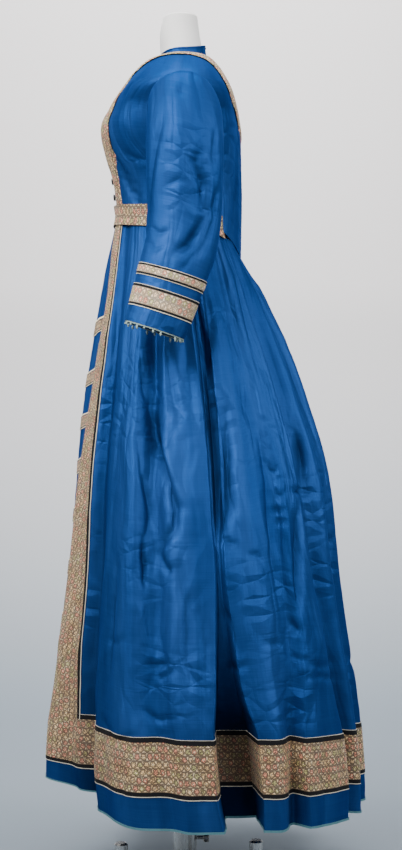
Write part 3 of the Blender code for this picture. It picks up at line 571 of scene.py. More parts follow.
def crease_heights(grid: Grid, creases: Iterable[Crease], centre_y: np.ndarray | float,
                   side: Optional[Side]) -> np.ndarray:
    """Adds up the creases on a grid.

    Args:
        grid: The surface they lie on.
        creases: The creases, with angles from the centre front on their own side.
        centre_y: Where the angles are measured from, for each row.
        side: The side of the body they are on, or None for both.

    Returns:
        A height for each point of the grid, in metres.
    """
    points = grid.points
    sign = 1.0 if side is None else float(side.value)
    turn = np.degrees(np.arctan2(points[..., 0] * sign, centre_y - points[..., 1]))
    reach = np.hypot(points[..., 0], points[..., 1] - centre_y)
    made = np.zeros(points.shape[:2])
    for crease in creases:
        marks = np.array(crease.path, float)
        count = max(6, int(np.ptp(marks[:, 1]) / 0.02) + int(np.ptp(marks[:, 0]) / 2.0) + 2)
        line = []
        for angle, height in path_points(crease, count):
            cost = (np.radians(turn - angle) * reach) ** 2 + (points[..., 2] - height) ** 2
            line.append(points[np.unravel_index(np.argmin(cost), cost.shape)])
        line = np.array(line)
        margin = crease.width_mm / 1000 * 3
        low, high = line.min(0) - margin, line.max(0) + margin
        near = np.all((points > low) & (points < high), axis=-1)
        if not near.any():
            continue
        here = points[near]
        best = np.full(len(here), 1e9)
        where = np.zeros(len(here))
        for k, (a, b) in enumerate(zip(line, line[1:])):
            step = b - a
            share = np.clip(((here - a) @ step) / max(step @ step, 1e-12), 0, 1)
            distance = np.linalg.norm(here - (a + share[:, None] * step), axis=1)
            closer = distance < best
            best = np.where(closer, distance, best)
            where = np.where(closer, (k + share) / (len(line) - 1), where)
        made[near] -= crease.trough(best, where)
    return made


class Wire:
    """A value in a material's node tree that can be used in arithmetic."""

    def __init__(self, tree: bpy.types.NodeTree, socket: bpy.types.NodeSocket) -> None:
        """Keeps the node tree and the socket that holds the value."""
        self.tree = tree
        self.socket = socket

    def math(self, operation: str, *others: "Wire | float", swap: bool = False) -> "Wire":
        """Puts this value and others through one Math node.

        Args:
            operation: The node's operation.
            others: Its other values.
            swap: Whether the values go in the other way round.

        Returns:
            The node's result.
        """
        node = self.tree.nodes.new("ShaderNodeMath")
        node.operation = operation
        values: list[Wire | float] = [self, *others]
        if swap:
            values.reverse()
        for slot, value in zip(node.inputs, values):
            if isinstance(value, Wire):
                self.tree.links.new(value.socket, slot)
            else:
                slot.default_value = value
        return Wire(self.tree, node.outputs[0])

    def __add__(self, other: "Wire | float") -> "Wire":
        """This value plus another."""
        return self.math("ADD", other)

    __radd__ = __add__

    def __mul__(self, other: "Wire | float") -> "Wire":
        """This value times another."""
        return self.math("MULTIPLY", other)

    __rmul__ = __mul__

    def __sub__(self, other: "Wire | float") -> "Wire":
        """This value less another."""
        return self.math("SUBTRACT", other)

    def __rsub__(self, other: float) -> "Wire":
        """A number less this value."""
        return self.math("SUBTRACT", other, swap=True)

    def __truediv__(self, other: "Wire | float") -> "Wire":
        """This value over another."""
        return self.math("DIVIDE", other)

    def __pow__(self, other: float) -> "Wire":
        """This value to a power."""
        return self.math("POWER", other)

    def __abs__(self) -> "Wire":
        """This value without its sign."""
        return self.math("ABSOLUTE")

    def above(self, limit: "Wire | float") -> "Wire":
        """1 where this value is above a limit, and otherwise 0."""
        return self.math("GREATER_THAN", limit)

    def below(self, limit: "Wire | float") -> "Wire":
        """1 where this value is below a limit, and otherwise 0."""
        return self.math("LESS_THAN", limit)

    def most(self, other: "Wire | float") -> "Wire":
        """The greater of this value and another."""
        return self.math("MAXIMUM", other)

    def floor(self) -> "Wire":
        """The whole number at or below this value."""
        return self.math("FLOOR")

    def part(self) -> "Wire":
        """What this value has above its whole number."""
        return self.math("FRACT")

    def sine(self) -> "Wire":
        """The sine of this value, in radians."""
        return self.math("SINE")

    def band(self, low: float, high: float) -> "Wire":
        """Rises evenly from 0 to 1 between two values, and stays there beyond them.

        Args:
            low: Where it is 0.
            high: Where it is 1.

        Returns:
            The share.
        """
        node = self.tree.nodes.new("ShaderNodeMapRange")
        node.inputs["From Min"].default_value = low
        node.inputs["From Max"].default_value = high
        self.tree.links.new(self.socket, node.inputs["Value"])
        return Wire(self.tree, node.outputs["Result"])


Colour = tuple[float, float, float]
Place = tuple[float, float, float]


class Finish:
    """Builds one material, through one method for any node."""

    def __init__(self, name: str) -> None:
        """Starts a material with its one shader."""
        self.material = bpy.data.materials.new(name)
        self.material.use_nodes = True
        self.tree = self.material.node_tree
        self.shader = self.tree.nodes["Principled BSDF"]

    def node(self, kind: str, settings: Optional[dict] = None, inputs: Optional[dict] = None
             ) -> bpy.types.Node:
        """Adds a node.

        Args:
            kind: The node's type.
            settings: Attributes to set on it.
            inputs: Values or wires for its inputs, by name or number.

        Returns:
            The node.
        """
        made = self.tree.nodes.new(kind)
        for key, value in (settings or {}).items():
            setattr(made, key, value)
        for key, value in (inputs or {}).items():
            if isinstance(value, Wire):
                self.tree.links.new(value.socket, made.inputs[key])
            else:
                made.inputs[key].default_value = value
        return made

    def wire(self, node: bpy.types.Node, output: str | int = 0) -> Wire:
        """A node's output, as a value."""
        return Wire(self.tree, node.outputs[output])

    def flat(self) -> tuple[Wire, Wire]:
        """The piece's own flat map.

        Returns:
            Its two values, in metres.
        """
        source = self.node("ShaderNodeUVMap", {"uv_map": "flat"})
        parts = self.node("ShaderNodeSeparateXYZ", inputs={0: self.wire(source)})
        return self.wire(parts, 0), self.wire(parts, 1)

    def shade(self) -> Wire:
        """How much painted shade a point gets for lying deep in a fold or crease, from 0 to 1. It is 0
        on a piece with no such value.
        """
        return self.wire(self.node("ShaderNodeAttribute", {"attribute_name": "shade"}), "Fac")

    def place(self) -> Wire:
        """The place on the piece, in metres."""
        source = self.node("ShaderNodeTexCoord")
        return self.wire(source, "Object")

    def joined(self, x: Wire | float, y: Wire | float, z: Wire | float = 0.0) -> Wire:
        """A place made of separate values."""
        return self.wire(self.node("ShaderNodeCombineXYZ", inputs={0: x, 1: y, 2: z}))

    def cloud(self, place: Wire, scale: float, detail: float = 2.0, rough: float = 0.5) -> Wire:
        """Noise from 0 to 1 at a place."""
        made = self.node("ShaderNodeTexNoise", inputs={
            "Vector": place, "Scale": scale, "Detail": detail, "Roughness": rough})
        return self.wire(made, "Fac")

    def facets(self, place: Wire) -> Wire:
        """Flat facets with straight creases between them, as crisp silk folds."""
        made = self.node("ShaderNodeTexVoronoi", {"feature": "DISTANCE_TO_EDGE"}, {
            "Vector": place, "Scale": 1.0})
        return self.wire(made, "Distance")

    def mix(self, share: Wire | float, first: Wire | Colour, second: Wire | Colour) -> Wire:
        """A colour between two.

        Args:
            share: The second colour's share, from 0 to 1.
            first: The first colour.
            second: The second colour.

        Returns:
            The mixed colour.
        """
        made = self.node("ShaderNodeMix", {"data_type": "RGBA", "clamp_factor": True})
        for slot, value in ((0, share), (6, first), (7, second)):
            if isinstance(value, Wire):
                self.tree.links.new(value.socket, made.inputs[slot])
            elif slot == 0:
                made.inputs[slot].default_value = value
            else:
                made.inputs[slot].default_value = (*value, 1)
        return self.wire(made, 2)

    def bump(self, height: Wire, distance: float, strength: float = 1.0) -> None:
        """Lets a height in metres times a distance tilt the shading."""
        made = self.node("ShaderNodeBump", inputs={
            "Height": height, "Distance": distance, "Strength": strength})
        self.tree.links.new(made.outputs[0], self.shader.inputs["Normal"])

    def set(self, **values: Wire | float | Colour) -> bpy.types.Material:
        """Sets inputs of the shader.

        Args:
            values: A value, colour or wire for each input, whose name has underscores for spaces.

        Returns:
            The finished material.
        """
        for key, value in values.items():
            slot = self.shader.inputs[key.replace("_", " ")]
            if isinstance(value, Wire):
                self.tree.links.new(value.socket, slot)
            elif isinstance(value, tuple):
                slot.default_value = (*value, 1)
            else:
                slot.default_value = value
        return self.material


@dataclass(frozen=True)
class Taffeta:
    """Crisp plain-woven silk: dark and deep blue, with a blue sheen that crinkles break up, painted
    shade in its folds and creases and soft bands of painted reflection.
    """

    name: str
    deep: Colour = (0.0030, 0.0265, 0.1120)
    light: Colour = (0.0200, 0.0720, 0.2450)
    # Colour of the painted shade deep in the folds and along the creases
    painted_shade_colour: Colour = (0.0012, 0.0050, 0.0190)
    sheen: Colour = (0.22, 0.42, 0.80)
    roughness: float = 0.47
    metallic: float = 0.42
    # How far the painted shade goes towards that colour
    painted_shade_share: float = 0.85
    # How often each pattern repeats in a metre, along the hem and up the cloth
    slub_waves: tuple[float, float] = (14, 420)
    warp_waves: tuple[float, float] = (700, 10)
    # Waves of the soft upright bands of lighter and darker blue, a painted reflection of flat facets of
    # the folds
    painted_reflection_waves: tuple[float, float] = (17, 1.3)
    facet_waves: tuple[float, float] = (15, 4.6)
    drag_waves: tuple[float, float] = (30, 3.5)
    relief: float = 0.012

    def material(self) -> bpy.types.Material:
        """Makes the silk: a fine uneven weave, soft bands of painted reflection, crisp facets and
        painted shade in the folds and creases.

        Returns:
            The material.
        """
        finish = Finish(self.name)
        u, v = finish.flat()
        slub, warp, bands = (
            finish.cloud(finish.joined(u * along, v * up), 1.0, detail) for (along, up), detail in
            ((self.slub_waves, 2.0), (self.warp_waves, 1.0), (self.painted_reflection_waves, 2.0)))
        wear = finish.cloud(finish.place(), 5.0, 3.0)
        # The bands lighten and darken the blue as painted reflection
        share = slub * 0.35 + warp * 0.22 + wear * 0.70 + bands * 1.50 - 0.88
        bend = finish.cloud(finish.joined(u * 7, v * 5), 1.0, 2.0) * 1.6
        along, up = self.facet_waves
        facets = finish.facets(finish.joined(u * along + bend, v * up + bend * 0.5))
        crossed = finish.facets(finish.joined(u * 20 + v * 12, v * 34 - u * 9))
        along, up = self.drag_waves
        drag = abs(finish.cloud(finish.joined(u * along + bend, v * up), 1.0, 2.0) - 0.5)
        patch = finish.cloud(finish.place(), 6.5, 1.0).band(0.47, 0.62)
        creases = facets * 0.55 + crossed * patch * 0.50 + drag * 0.45 + slub * 0.02
        finish.bump(creases, self.relief, 0.85)
        colour = finish.mix(share, self.deep, self.light)
        # Painted shade: darker towards the painted shade colour deep in the folds and along the creases
        colour = finish.mix(finish.shade() * self.painted_shade_share, colour, self.painted_shade_colour)
        return finish.set(
            Base_Color=colour, Metallic=self.metallic, Specular_IOR_Level=0.0,
            Roughness=wear * 0.12 + (self.roughness - 0.06), Specular_Tint=self.sheen)


@dataclass(frozen=True)
class Border:
    """A woven border of rows of rosettes and scrolls, parted by thin brown lines, with painted shade
    where it lies deep in a fold.
    """

    name: str
    width: float
    ribbon: float = 0.0
    one_side: bool = False
    row: float = 0.0123
    repeat: float = 0.0104
    ground: Colour = (0.99, 0.82, 0.52)
    gold: Colour = (0.90, 0.60, 0.26)
    line: Colour = (0.055, 0.026, 0.018)
    rose: Colour = (0.96, 0.30, 0.18)
    leaf: Colour = (0.52, 0.52, 0.16)
    rust: Colour = (0.36, 0.19, 0.10)
    # Colour of the painted shade where the border lies deep in a fold
    painted_shade_colour: Colour = (0.05, 0.030, 0.022)
    black: Colour = (0.008, 0.008, 0.010)
    stain: float = 0.42             # how strong the rust spots are
    ink: float = 0.90               # how strong the lines are
    step: float = 0.37              # share of a repeat by which each row is shifted
    petals: int = 5
    rosette: float = 0.36           # its radius and the lines' widths, in shares of a repeat
    ring: float = 0.39
    ring_width: float = 0.090
    vine_width: float = 0.050
    thread_waves: float = 5200.0    # of the weave, in radians a metre

    def material(self) -> bpy.types.Material:
        """Makes the woven repeat from its rows, rosettes, vines and lines.

        Returns:
            The material.
        """
        finish = Finish(self.name)
        u, v = finish.flat()
        wobble = finish.cloud(finish.joined(u, v), 240.0, 1.0) - 0.5
        drift = finish.cloud(finish.joined(u, v, 3.7), 190.0, 1.0) - 0.5
        rows = v / self.row
        number = rows.floor()
        along = u / self.repeat + number * self.step
        cell = along.floor()
        x = along.part() - 0.5 + wobble * 0.34
        y = rows.part() - 0.5 + drift * 0.26
        radius = (x * x + y * y) ** 0.5
        turn = y.math("ARCTAN2", x)
        bloom = radius + (turn * self.petals).sine() * 0.035
        odd = ((cell + number) / 2).part().above(0.25)
        pick = finish.cloud(finish.joined(cell * 0.37, number * 0.71), 3.1, 0.0)
        petal = finish.mix(pick.above(0.53), self.leaf, self.rose)
        petal = finish.mix(pick.below(0.45), petal, self.gold)
        rosette = bloom.below(self.rosette)
        ring = abs(bloom - self.ring).below(self.ring_width)
        spokes = abs((turn * (self.petals / 2)).sine()).below(0.26) * radius.above(0.17)
        spokes = spokes * rosette * odd
        heart = radius.below(0.12)
        edge_line = abs(rows.part() - 0.5 + drift * 0.08).above(0.430)
        vine = abs(finish.cloud(finish.joined(u, v), 250.0, 2.0, 0.6) - 0.5)
        vine = vine.below(self.vine_width)
        stain = finish.cloud(finish.joined(u, v, 1.9), 38.0, 2.0).band(0.48, 0.70)
        tint = finish.cloud(finish.joined(u, v), 45.0, 2.0)
        colour = finish.mix(tint.band(0.35, 0.66), self.ground, self.gold)
        colour = finish.mix(rosette * 0.80, colour, petal)
        colour = finish.mix(heart * (1 - odd), colour, self.ground)
        colour = finish.mix(stain * self.stain, colour, self.rust)
        lines = ring.most(spokes).most(edge_line).most(vine)
        colour = finish.mix(lines * self.ink, colour, self.line)
        # Painted shade deep in the skirt's folds
        colour = finish.mix(finish.shade() * 0.55, colour, self.painted_shade_colour)
        if self.ribbon:
            near = v if self.one_side else (abs(v - self.width / 2) - self.width / 2) * -1
            colour = finish.mix(near.below(self.ribbon), colour, self.black)
            colour = finish.mix(near.below(self.ribbon * 0.30), colour, self.ground)
        weave = (u * self.thread_waves).sine() * (v * self.thread_waves).sine()
        finish.bump(weave * 0.5 + lines * 0.6, 0.0003, 0.5)
        return finish.set(Base_Color=colour, Roughness=0.62, Sheen_Weight=0.05)


@dataclass(frozen=True)
class Velvet:
    """Black ribbon with a thin pale cord along one edge."""

    name: str
    width: float
    cord: float = 0.0012
    from_start: bool = True

    def material(self) -> bpy.types.Material:
        """Makes the ribbon and its cord.

        Returns:
            The material.
        """
        finish = Finish(self.name)
        u, v = finish.flat()
        edge = v if self.from_start else (v * -1) + self.width
        nap = finish.cloud(finish.joined(u, v), 1400.0, 1.0)
        black = finish.mix(nap, (0.003, 0.003, 0.004), (0.009, 0.009, 0.011))
        cord = finish.mix(nap, (0.58, 0.53, 0.43), (0.74, 0.70, 0.58))
        finish.bump(nap, 0.0004, 0.4)
        return finish.set(Base_Color=finish.mix(edge.below(self.cord), black, cord),
                          Roughness=0.85, Specular_IOR_Level=0.2)


@dataclass(frozen=True)
class Plain:
    """A plain finish with a little unevenness."""

    name: str
    first: Colour
    second: Colour
    roughness: float
    metallic: float = 0.0
    grain: float = 60.0             # spots in a metre
    relief: float = 0.0
    streak: float = 1.0             # how much longer the spots are upwards

    def material(self) -> bpy.types.Material:
        """Makes the finish.

        Returns:
            The material.
        """
        finish = Finish(self.name)
        spot = finish.node("ShaderNodeMapping", inputs={
            "Vector": finish.place(), "Scale": (1.0, 1.0, 1.0 / self.streak)})
        grain = finish.cloud(finish.wire(spot), self.grain, 3.0)
        if self.relief:
            finish.bump(grain, self.relief, 0.6)
        return finish.set(Base_Color=finish.mix(grain, self.first, self.second),
                          Roughness=grain * 0.16 + (self.roughness - 0.08),
                          Metallic=self.metallic)


@dataclass(frozen=True)
class Paper:
    """Studio paper, darker and cooler on the floor than up the wall: painted shade that darkens the
    lower backdrop, which also cuts the light bounced off the floor.
    """

    name: str = "backdrop_paper"
    floor: Colour = (0.220, 0.260, 0.300)
    wall: Colour = (0.815, 0.785, 0.780)
    height: float = 1.35

    def material(self) -> bpy.types.Material:
        """Makes the paper, whose colour darkens towards the floor as painted shade.

        Returns:
            The material.
        """
        finish = Finish(self.name)
        parts = finish.node("ShaderNodeSeparateXYZ", inputs={0: finish.place()})
        # Painted shade: the paper darkens from the wall down to the floor
        rise = finish.wire(parts, 2).band(0.0, self.height)
        return finish.set(Base_Color=finish.mix(rise, self.floor, self.wall), Roughness=0.95,
                          Specular_IOR_Level=0.1)


class Finishes:
    """Every finish of the piece, made once."""

    def __init__(self) -> None:
        """Makes every material."""
        self.silk = Taffeta("silk_taffeta").material()
        self.hem = Border("border_wide", 0.074).material()
        self.front = Border("border_front", 0.095).material()
        self.strap = Border("border_strap", STRAP_WIDTH, 0.0045, True).material()
        # The cuffs get a lighter copy of the same print with fewer dark marks, painted light, as they
        # sit higher and nearer the lamps
        painted_light_cuff = {"ground": (0.98, 0.84, 0.62), "gold": (0.96, 0.70, 0.42), "stain": 0.10,
                  "ink": 0.72}
        self.cuff_lower = Border("border_cuff_lower", CUFF_LOWER, row=0.0136, **painted_light_cuff).material()
        self.cuff_upper = Border("border_cuff_upper", CUFF_UPPER, row=0.0110, **painted_light_cuff).material()
        self.ladder = Border("border_ladder", LADDER_WIDTH, 0.0036, row=0.0090).material()
        self.belt = Border("border_belt", 0.034, row=0.0170, stain=0.35).material()
        self.ribbon = Velvet("ribbon_cord_first", 0.0092).material()
        self.front_ribbon = Velvet("ribbon_front", 0.0090, 0.0014).material()
        self.ribbon_foot = Velvet("ribbon_cord_last", 0.0092, from_start=False).material()
        self.cuff_ribbon = Velvet("ribbon_cuff_first", CUFF_RIBBON, 0.0008).material()
        self.cuff_ribbon_foot = Velvet("ribbon_cuff_last", CUFF_RIBBON, 0.0008, False).material()
        self.edging = Plain("edging", (0.16, 0.27, 0.27), (0.42, 0.50, 0.43), 0.8,
                            grain=300).material()
        self.braid = Plain("braid", (0.03, 0.13, 0.18), (0.10, 0.24, 0.26), 0.8,
                           grain=300).material()
        self.button = Plain("button", (0.020, 0.016, 0.016), (0.05, 0.035, 0.03), 0.35).material()
        self.jersey = Plain("form_jersey", (0.70, 0.69, 0.67), (0.80, 0.79, 0.77), 0.9,
                            grain=500, relief=0.0003).material()
        self.steel = Plain("steel", (0.50, 0.49, 0.47), (0.66, 0.65, 0.63), 0.26, 1.0,
                           grain=240, streak=14).material()
        self.paint = Plain("base_paint", (0.17, 0.175, 0.18), (0.23, 0.235, 0.24), 0.5,
                           grain=180, relief=0.0002).material()
        self.rubber = Plain("rubber", (0.020, 0.020, 0.022), (0.035, 0.035, 0.037), 0.8).material()


def mesh_of(name: str, grid: Grid, flat: Optional[np.ndarray]) -> bpy.types.Mesh:
    """A mesh from a grid, with its flat map and its painted shade.

    Args:
        name: The mesh's name.
        grid: The grid.
        flat: The flat map of its points, or None.

    Returns:
        The mesh.
    """
    rows, columns = grid.points.shape[:2]
    wide = columns if grid.closed else columns - 1
    faces = []
    for r in range(rows - 1):
        for c in range(wide):
            n = (c + 1) % columns
            faces.append((r * columns + c, r * columns + n,
                          (r + 1) * columns + n, (r + 1) * columns + c))
    mesh = bpy.data.meshes.new(name)
    mesh.from_pydata(grid.points.reshape(-1, 3).tolist(), [], faces)
    if flat is not None:
        layer = mesh.uv_layers.new(name="flat")
        corners = np.empty(len(mesh.loops), int)
        mesh.loops.foreach_get("vertex_index", corners)
        layer.data.foreach_set("uv", flat.reshape(-1, 2)[corners].ravel())
    if grid.shade is not None:
        mesh.attributes.new("shade", "FLOAT", "POINT").data.foreach_set("value", grid.shade.ravel())
    mesh.shade_smooth()
    return mesh


def finished(piece: bpy.types.Object, finish: bpy.types.Material,
             nodes: Sequence[str]) -> bpy.types.Object:
    """Gives a piece its finish and its place in the frame.

    Args:
        piece: The piece.
        finish: Its material.
        nodes: The solids that it replaces.

    Returns:
        The same piece.
    """
    piece.data.materials.clear()
    piece.data.materials.append(finish)
    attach(piece, "root")
    if nodes:
        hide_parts(*nodes)
    log.info("%s: %d faces", piece.name, len(piece.data.polygons))
    return piece


def placed(name: str, mesh: bpy.types.Mesh) -> bpy.types.Object:
    """Puts a mesh in the scene as a piece of its own."""
    piece = bpy.data.objects.new(name, mesh)
    bpy.context.scene.collection.objects.link(piece)
    return piece


def applied(piece: bpy.types.Object, kind: str, **settings: float | int | str | bool) -> None:
    """Adds one modifier and applies it.

    Args:
        piece: The piece.
        kind: The modifier's type.
        settings: Its settings.
    """
    modifier = piece.modifiers.new(kind.lower(), kind)
    for key, value in settings.items():
        setattr(modifier, key, value)
    bpy.context.view_layer.objects.active = piece
    with bpy.context.temp_override(object=piece, active_object=piece, selected_objects=[piece]):
        bpy.ops.object.modifier_apply(modifier=modifier.name)


def sheet_piece(name: str, grid: Grid, finish: bpy.types.Material,
                nodes: Sequence[str] = (), along: Along = Along.COLUMNS, from_end: bool = False,
                wall: float = CLOTH) -> bpy.types.Object:
    """A thin closed sheet whose outer face is a grid.

    Args:
        name: The piece's name.
        grid: Its outer face.
        finish: Its material.
        nodes: The solids that it replaces.
        along: The way its pattern runs.
        from_end: Whether the pattern's cross values start at the last line.
        wall: Its thickness.

    Returns:
        The piece.
    """
    piece = placed(name, mesh_of(name, grid, cloth_map(grid.points, along, from_end)))
    applied(piece, "SOLIDIFY", thickness=wall, offset=-1.0)
    piece.data.set_sharp_from_angle(angle=math.radians(RIM_ANGLE))
    return finished(piece, finish, nodes)


def trim_piece(name: str, grid: Grid, finish: bpy.types.Material,
               nodes: Sequence[str] = (), along: Along = Along.COLUMNS, from_end: bool = False,
               lift: float = LIFT) -> bpy.types.Object:
    """A border or ribbon that lies on a grid.

    Args:
        name: The piece's name.
        grid: The cloth's face under it.
        finish: Its material.
        nodes: The solids that it replaces.
        along: The way its pattern runs.
        from_end: Whether the pattern's cross values start at the last line.

    Returns:
        The piece.
    """
    return sheet_piece(name, grid.lifted(lift + TRIM), finish, nodes, along, from_end, TRIM)


@dataclass(frozen=True)
class Cut:
    """A sheet's flat cut, in metres and square metres."""

    width: float
    length: float
    area: float


def panel_piece(name: str, grid: Grid, silk: bpy.types.Material) -> None:
    """A panel of the dress, in place of its solid, with its area logged.

    Args:
        name: The solid's name.
        grid: The panel's outer face.
        silk: Its finish.
    """
    log.info("%s: %.4f m2", name, grid.area())
    piece = sheet_piece(f"{name}_cloth", grid, silk, [name])


CREASES_LEFT = creases(
    (10, 9.5, (71.3, 0.873), (74.7, 0.814), (81.0, 0.743), (83.3, 0.702), (82.3, 0.670), (77.0, 0.628)),
    (6, 4.0, (67.4, 0.844), (70.3, 0.755), (73.7, 0.692), (72.6, 0.649)),
    (5, 6.0, (71.9, 0.650), (72.2, 0.618), (73.3, 0.566)),
    (6, 4.0, (77.0, 0.628), (80.0, 0.606), (81.4, 0.596)),
    (8, -3.0, (65.9, 0.835), (69.6, 0.765), (71.5, 0.703)),
    (9, -3.5, (76.4, 0.853), (80.7, 0.774), (84.4, 0.712), (84.8, 0.648)),
    (8, 12.0, (100.7, 0.994), (99.8, 0.921), (99.1, 0.852), (98.3, 0.783), (96.9, 0.712),
     (96.1, 0.648)),
    (12, 11.0, (104.4, 0.880), (102.8, 0.812), (101.1, 0.753), (100.2, 0.701), (98.2, 0.659)),
    (5, 4.0, (97.0, 0.648), (99.5, 0.648), (101.5, 0.637)),
    (4.5, 2.6, (117.7, 0.847), (115.9, 0.750), (112.9, 0.624), (113.5, 0.540)),
    (4.5, 1.6, (117.7, 0.847), (121.4, 0.845), (126.5, 0.843)),
    (11, 9.0, (139.5, 0.828), (139.5, 0.790), (137.5, 0.732)),
    (5, 4.5, (123.7, 0.727), (129.7, 0.725), (141.3, 0.721)),
    (11, 8.5, (126.9, 0.705), (123.6, 0.642), (120.9, 0.580), (118.7, 0.517)),
    (9, -3.0, (124.3, 0.816), (120.1, 0.718), (117.9, 0.612), (117.4, 0.550)),
    (4, 2.6, (117.5, 0.769), (119.0, 0.759), (122.0, 0.768)),
    (4, 2.4, (117.9, 0.749), (119.9, 0.748), (122.5, 0.748)),
    (4, 2.6, (118.3, 0.728), (119.6, 0.718), (122.3, 0.727)),
    (4, 2.6, (115.6, 0.698), (118.5, 0.697), (121.3, 0.696)),
    (4, 2.4, (116.6, 0.676), (118.8, 0.676), (120.6, 0.675)),
    (5, 3.0, (104.1, 0.626), (107.1, 0.625), (109.3, 0.614)),
    (5, 3.0, (74.9, 0.450), (78.4, 0.449), (81.8, 0.459)),
    (5, 2.6, (75.7, 0.440), (79.3, 0.431), (83.2, 0.449)),
    (5, 2.0, (60.6, 0.482), (65.2, 0.481), (68.5, 0.491)),
    (6, 3.5, (96.5, 0.543), (98.2, 0.510), (100.1, 0.458)),
    (5, 2.6, (96.9, 0.449), (98.7, 0.448), (101.3, 0.458)),
    (6, 4.5, (116.8, 0.518), (117.8, 0.506), (118.8, 0.495)),
    (5, 2.6, (117.6, 0.454), (123.9, 0.442), (140.5, 0.435)),
    (5, 2.6, (117.9, 0.426), (123.9, 0.423), (139.7, 0.409)),
    (5, 2.4, (105.7, 0.488), (108.9, 0.487), (112.2, 0.486)),
    (8, 4.0, (66.1, 0.977), (68.0, 0.924), (69.9, 0.874)),
    (8, 4.0, (79.4, 0.975), (81.4, 0.912), (84.8, 0.852)),
    (8, 3.5, (88.9, 0.985), (89.8, 0.912), (91.8, 0.833)),
    (8, 3.0, (124.6, 1.062), (123.2, 0.985), (123.2, 0.903)),
    (8, 3.0, (138.3, 1.005), (139.0, 0.934), (139.4, 0.866)),
    (8, 5.0, (83.8, 0.617), (85.3, 0.554), (85.6, 0.479), (86.7, 0.401)),
    (8, 4.0, (63.3, 0.619), (62.7, 0.514), (63.2, 0.425)),
    (6, 3.5, (89.5, 0.554), (90.3, 0.479), (90.7, 0.401)),
    (10, 3.5, (158, 1.06), (161, 0.92), (162, 0.78)),
    (10, 3.0, (172, 1.05), (173, 0.90), (172, 0.75)),
    (8, 3.5, (150, 0.66), (158, 0.63), (166, 0.64)),
    (8, 3.5, (160, 0.44), (167, 0.41), (175, 0.42)),
    (6, 2.5, (60, 0.36), (66, 0.33), (73, 0.345)),
    (6, 2.5, (74, 0.385), (78, 0.365), (84, 0.375)),
    (9, 3.5, (118, 0.29), (121, 0.24), (120, 0.19)),
    (9, 3.0, (69, 0.31), (70, 0.26), (69, 0.21)),
    (8, 3.0, (88, 0.32), (89, 0.26), (89, 0.21)),
)
CREASES_RIGHT = creases(
    (9, 3.0, (45, 1.15), (49, 0.99), (51, 0.82)),
    (9, 3.0, (57, 1.16), (60, 1.01), (61, 0.88)),
    (8, 3.5, (70, 1.12), (73, 1.00), (74, 0.87)),
    (9, 3.0, (82, 1.12), (84, 0.99), (86, 0.84)),
    (9, 3.5, (107, 1.09), (110, 0.99), (111, 0.85)),
    (10, 3.0, (122, 1.07), (125, 0.94), (126, 0.80)),
    (9, 3.0, (140, 1.04), (143, 0.90), (144, 0.76)),
    (10, 3.5, (156, 1.06), (160, 0.91), (161, 0.77)),
    (10, 3.0, (170, 1.05), (172, 0.91), (173, 0.77)),
    (10, 3.5, (56, 0.76), (59, 0.61), (63, 0.46)),
    (9, 3.0, (66, 0.72), (69, 0.56), (71, 0.40)),
    (8, 4.5, (78, 0.74), (81, 0.66), (80, 0.58)),
    (9, 3.0, (85, 0.86), (87, 0.72), (89, 0.50)),
    (7, 2.5, (61, 0.38), (68, 0.345), (76, 0.36)),
    (7, 2.5, (72, 0.50), (78, 0.47), (84, 0.48)),
    (9, 3.5, (108, 0.68), (110, 0.56), (110, 0.43)),
    (6, 3.5, (118, 0.75), (122, 0.742), (127, 0.75)),
    (6, 4.0, (129, 0.70), (134, 0.69), (140, 0.70)),
    (8, 4.0, (119, 0.42), (130, 0.395), (141, 0.37)),
    (8, 3.5, (123, 0.50), (132, 0.47), (140, 0.45)),
    (8, 3.5, (129, 0.58), (138, 0.55), (147, 0.55)),
    (8, 3.5, (152, 0.64), (160, 0.61), (168, 0.62)),
    (8, 3.5, (158, 0.46), (166, 0.43), (174, 0.44)),
    (9, 3.5, (121, 0.29), (123, 0.24), (122, 0.19)),
    (9, 3.0, (70, 0.31), (71, 0.26), (71, 0.21)),
    (8, 3.0, (86, 0.32), (87, 0.26), (87, 0.21)),
)
BODICE_CREASES = creases(
    (5, 2.4, (30, 1.345), (42, 1.300), (60, 1.250)),
    (5, 2.8, (33, 1.320), (44, 1.280), (60, 1.232)),
    (5, 2.4, (36, 1.290), (46, 1.262), (58, 1.225)),
    (5, 1.8, (44, 1.335), (56, 1.312), (70, 1.300)),
    (8, 1.6, (49, 1.415), (55, 1.430), (61, 1.440)),
    (7, 1.6, (118, 1.190), (121, 1.260), (120, 1.330)),
    (6, 1.2, (140, 1.180), (146, 1.260), (143, 1.350)),
    (9, 1.4, (112, 1.380), (120, 1.400), (130, 1.390)),
    (6, 1.0, (165, 1.200), (160, 1.300), (150, 1.390)),
)
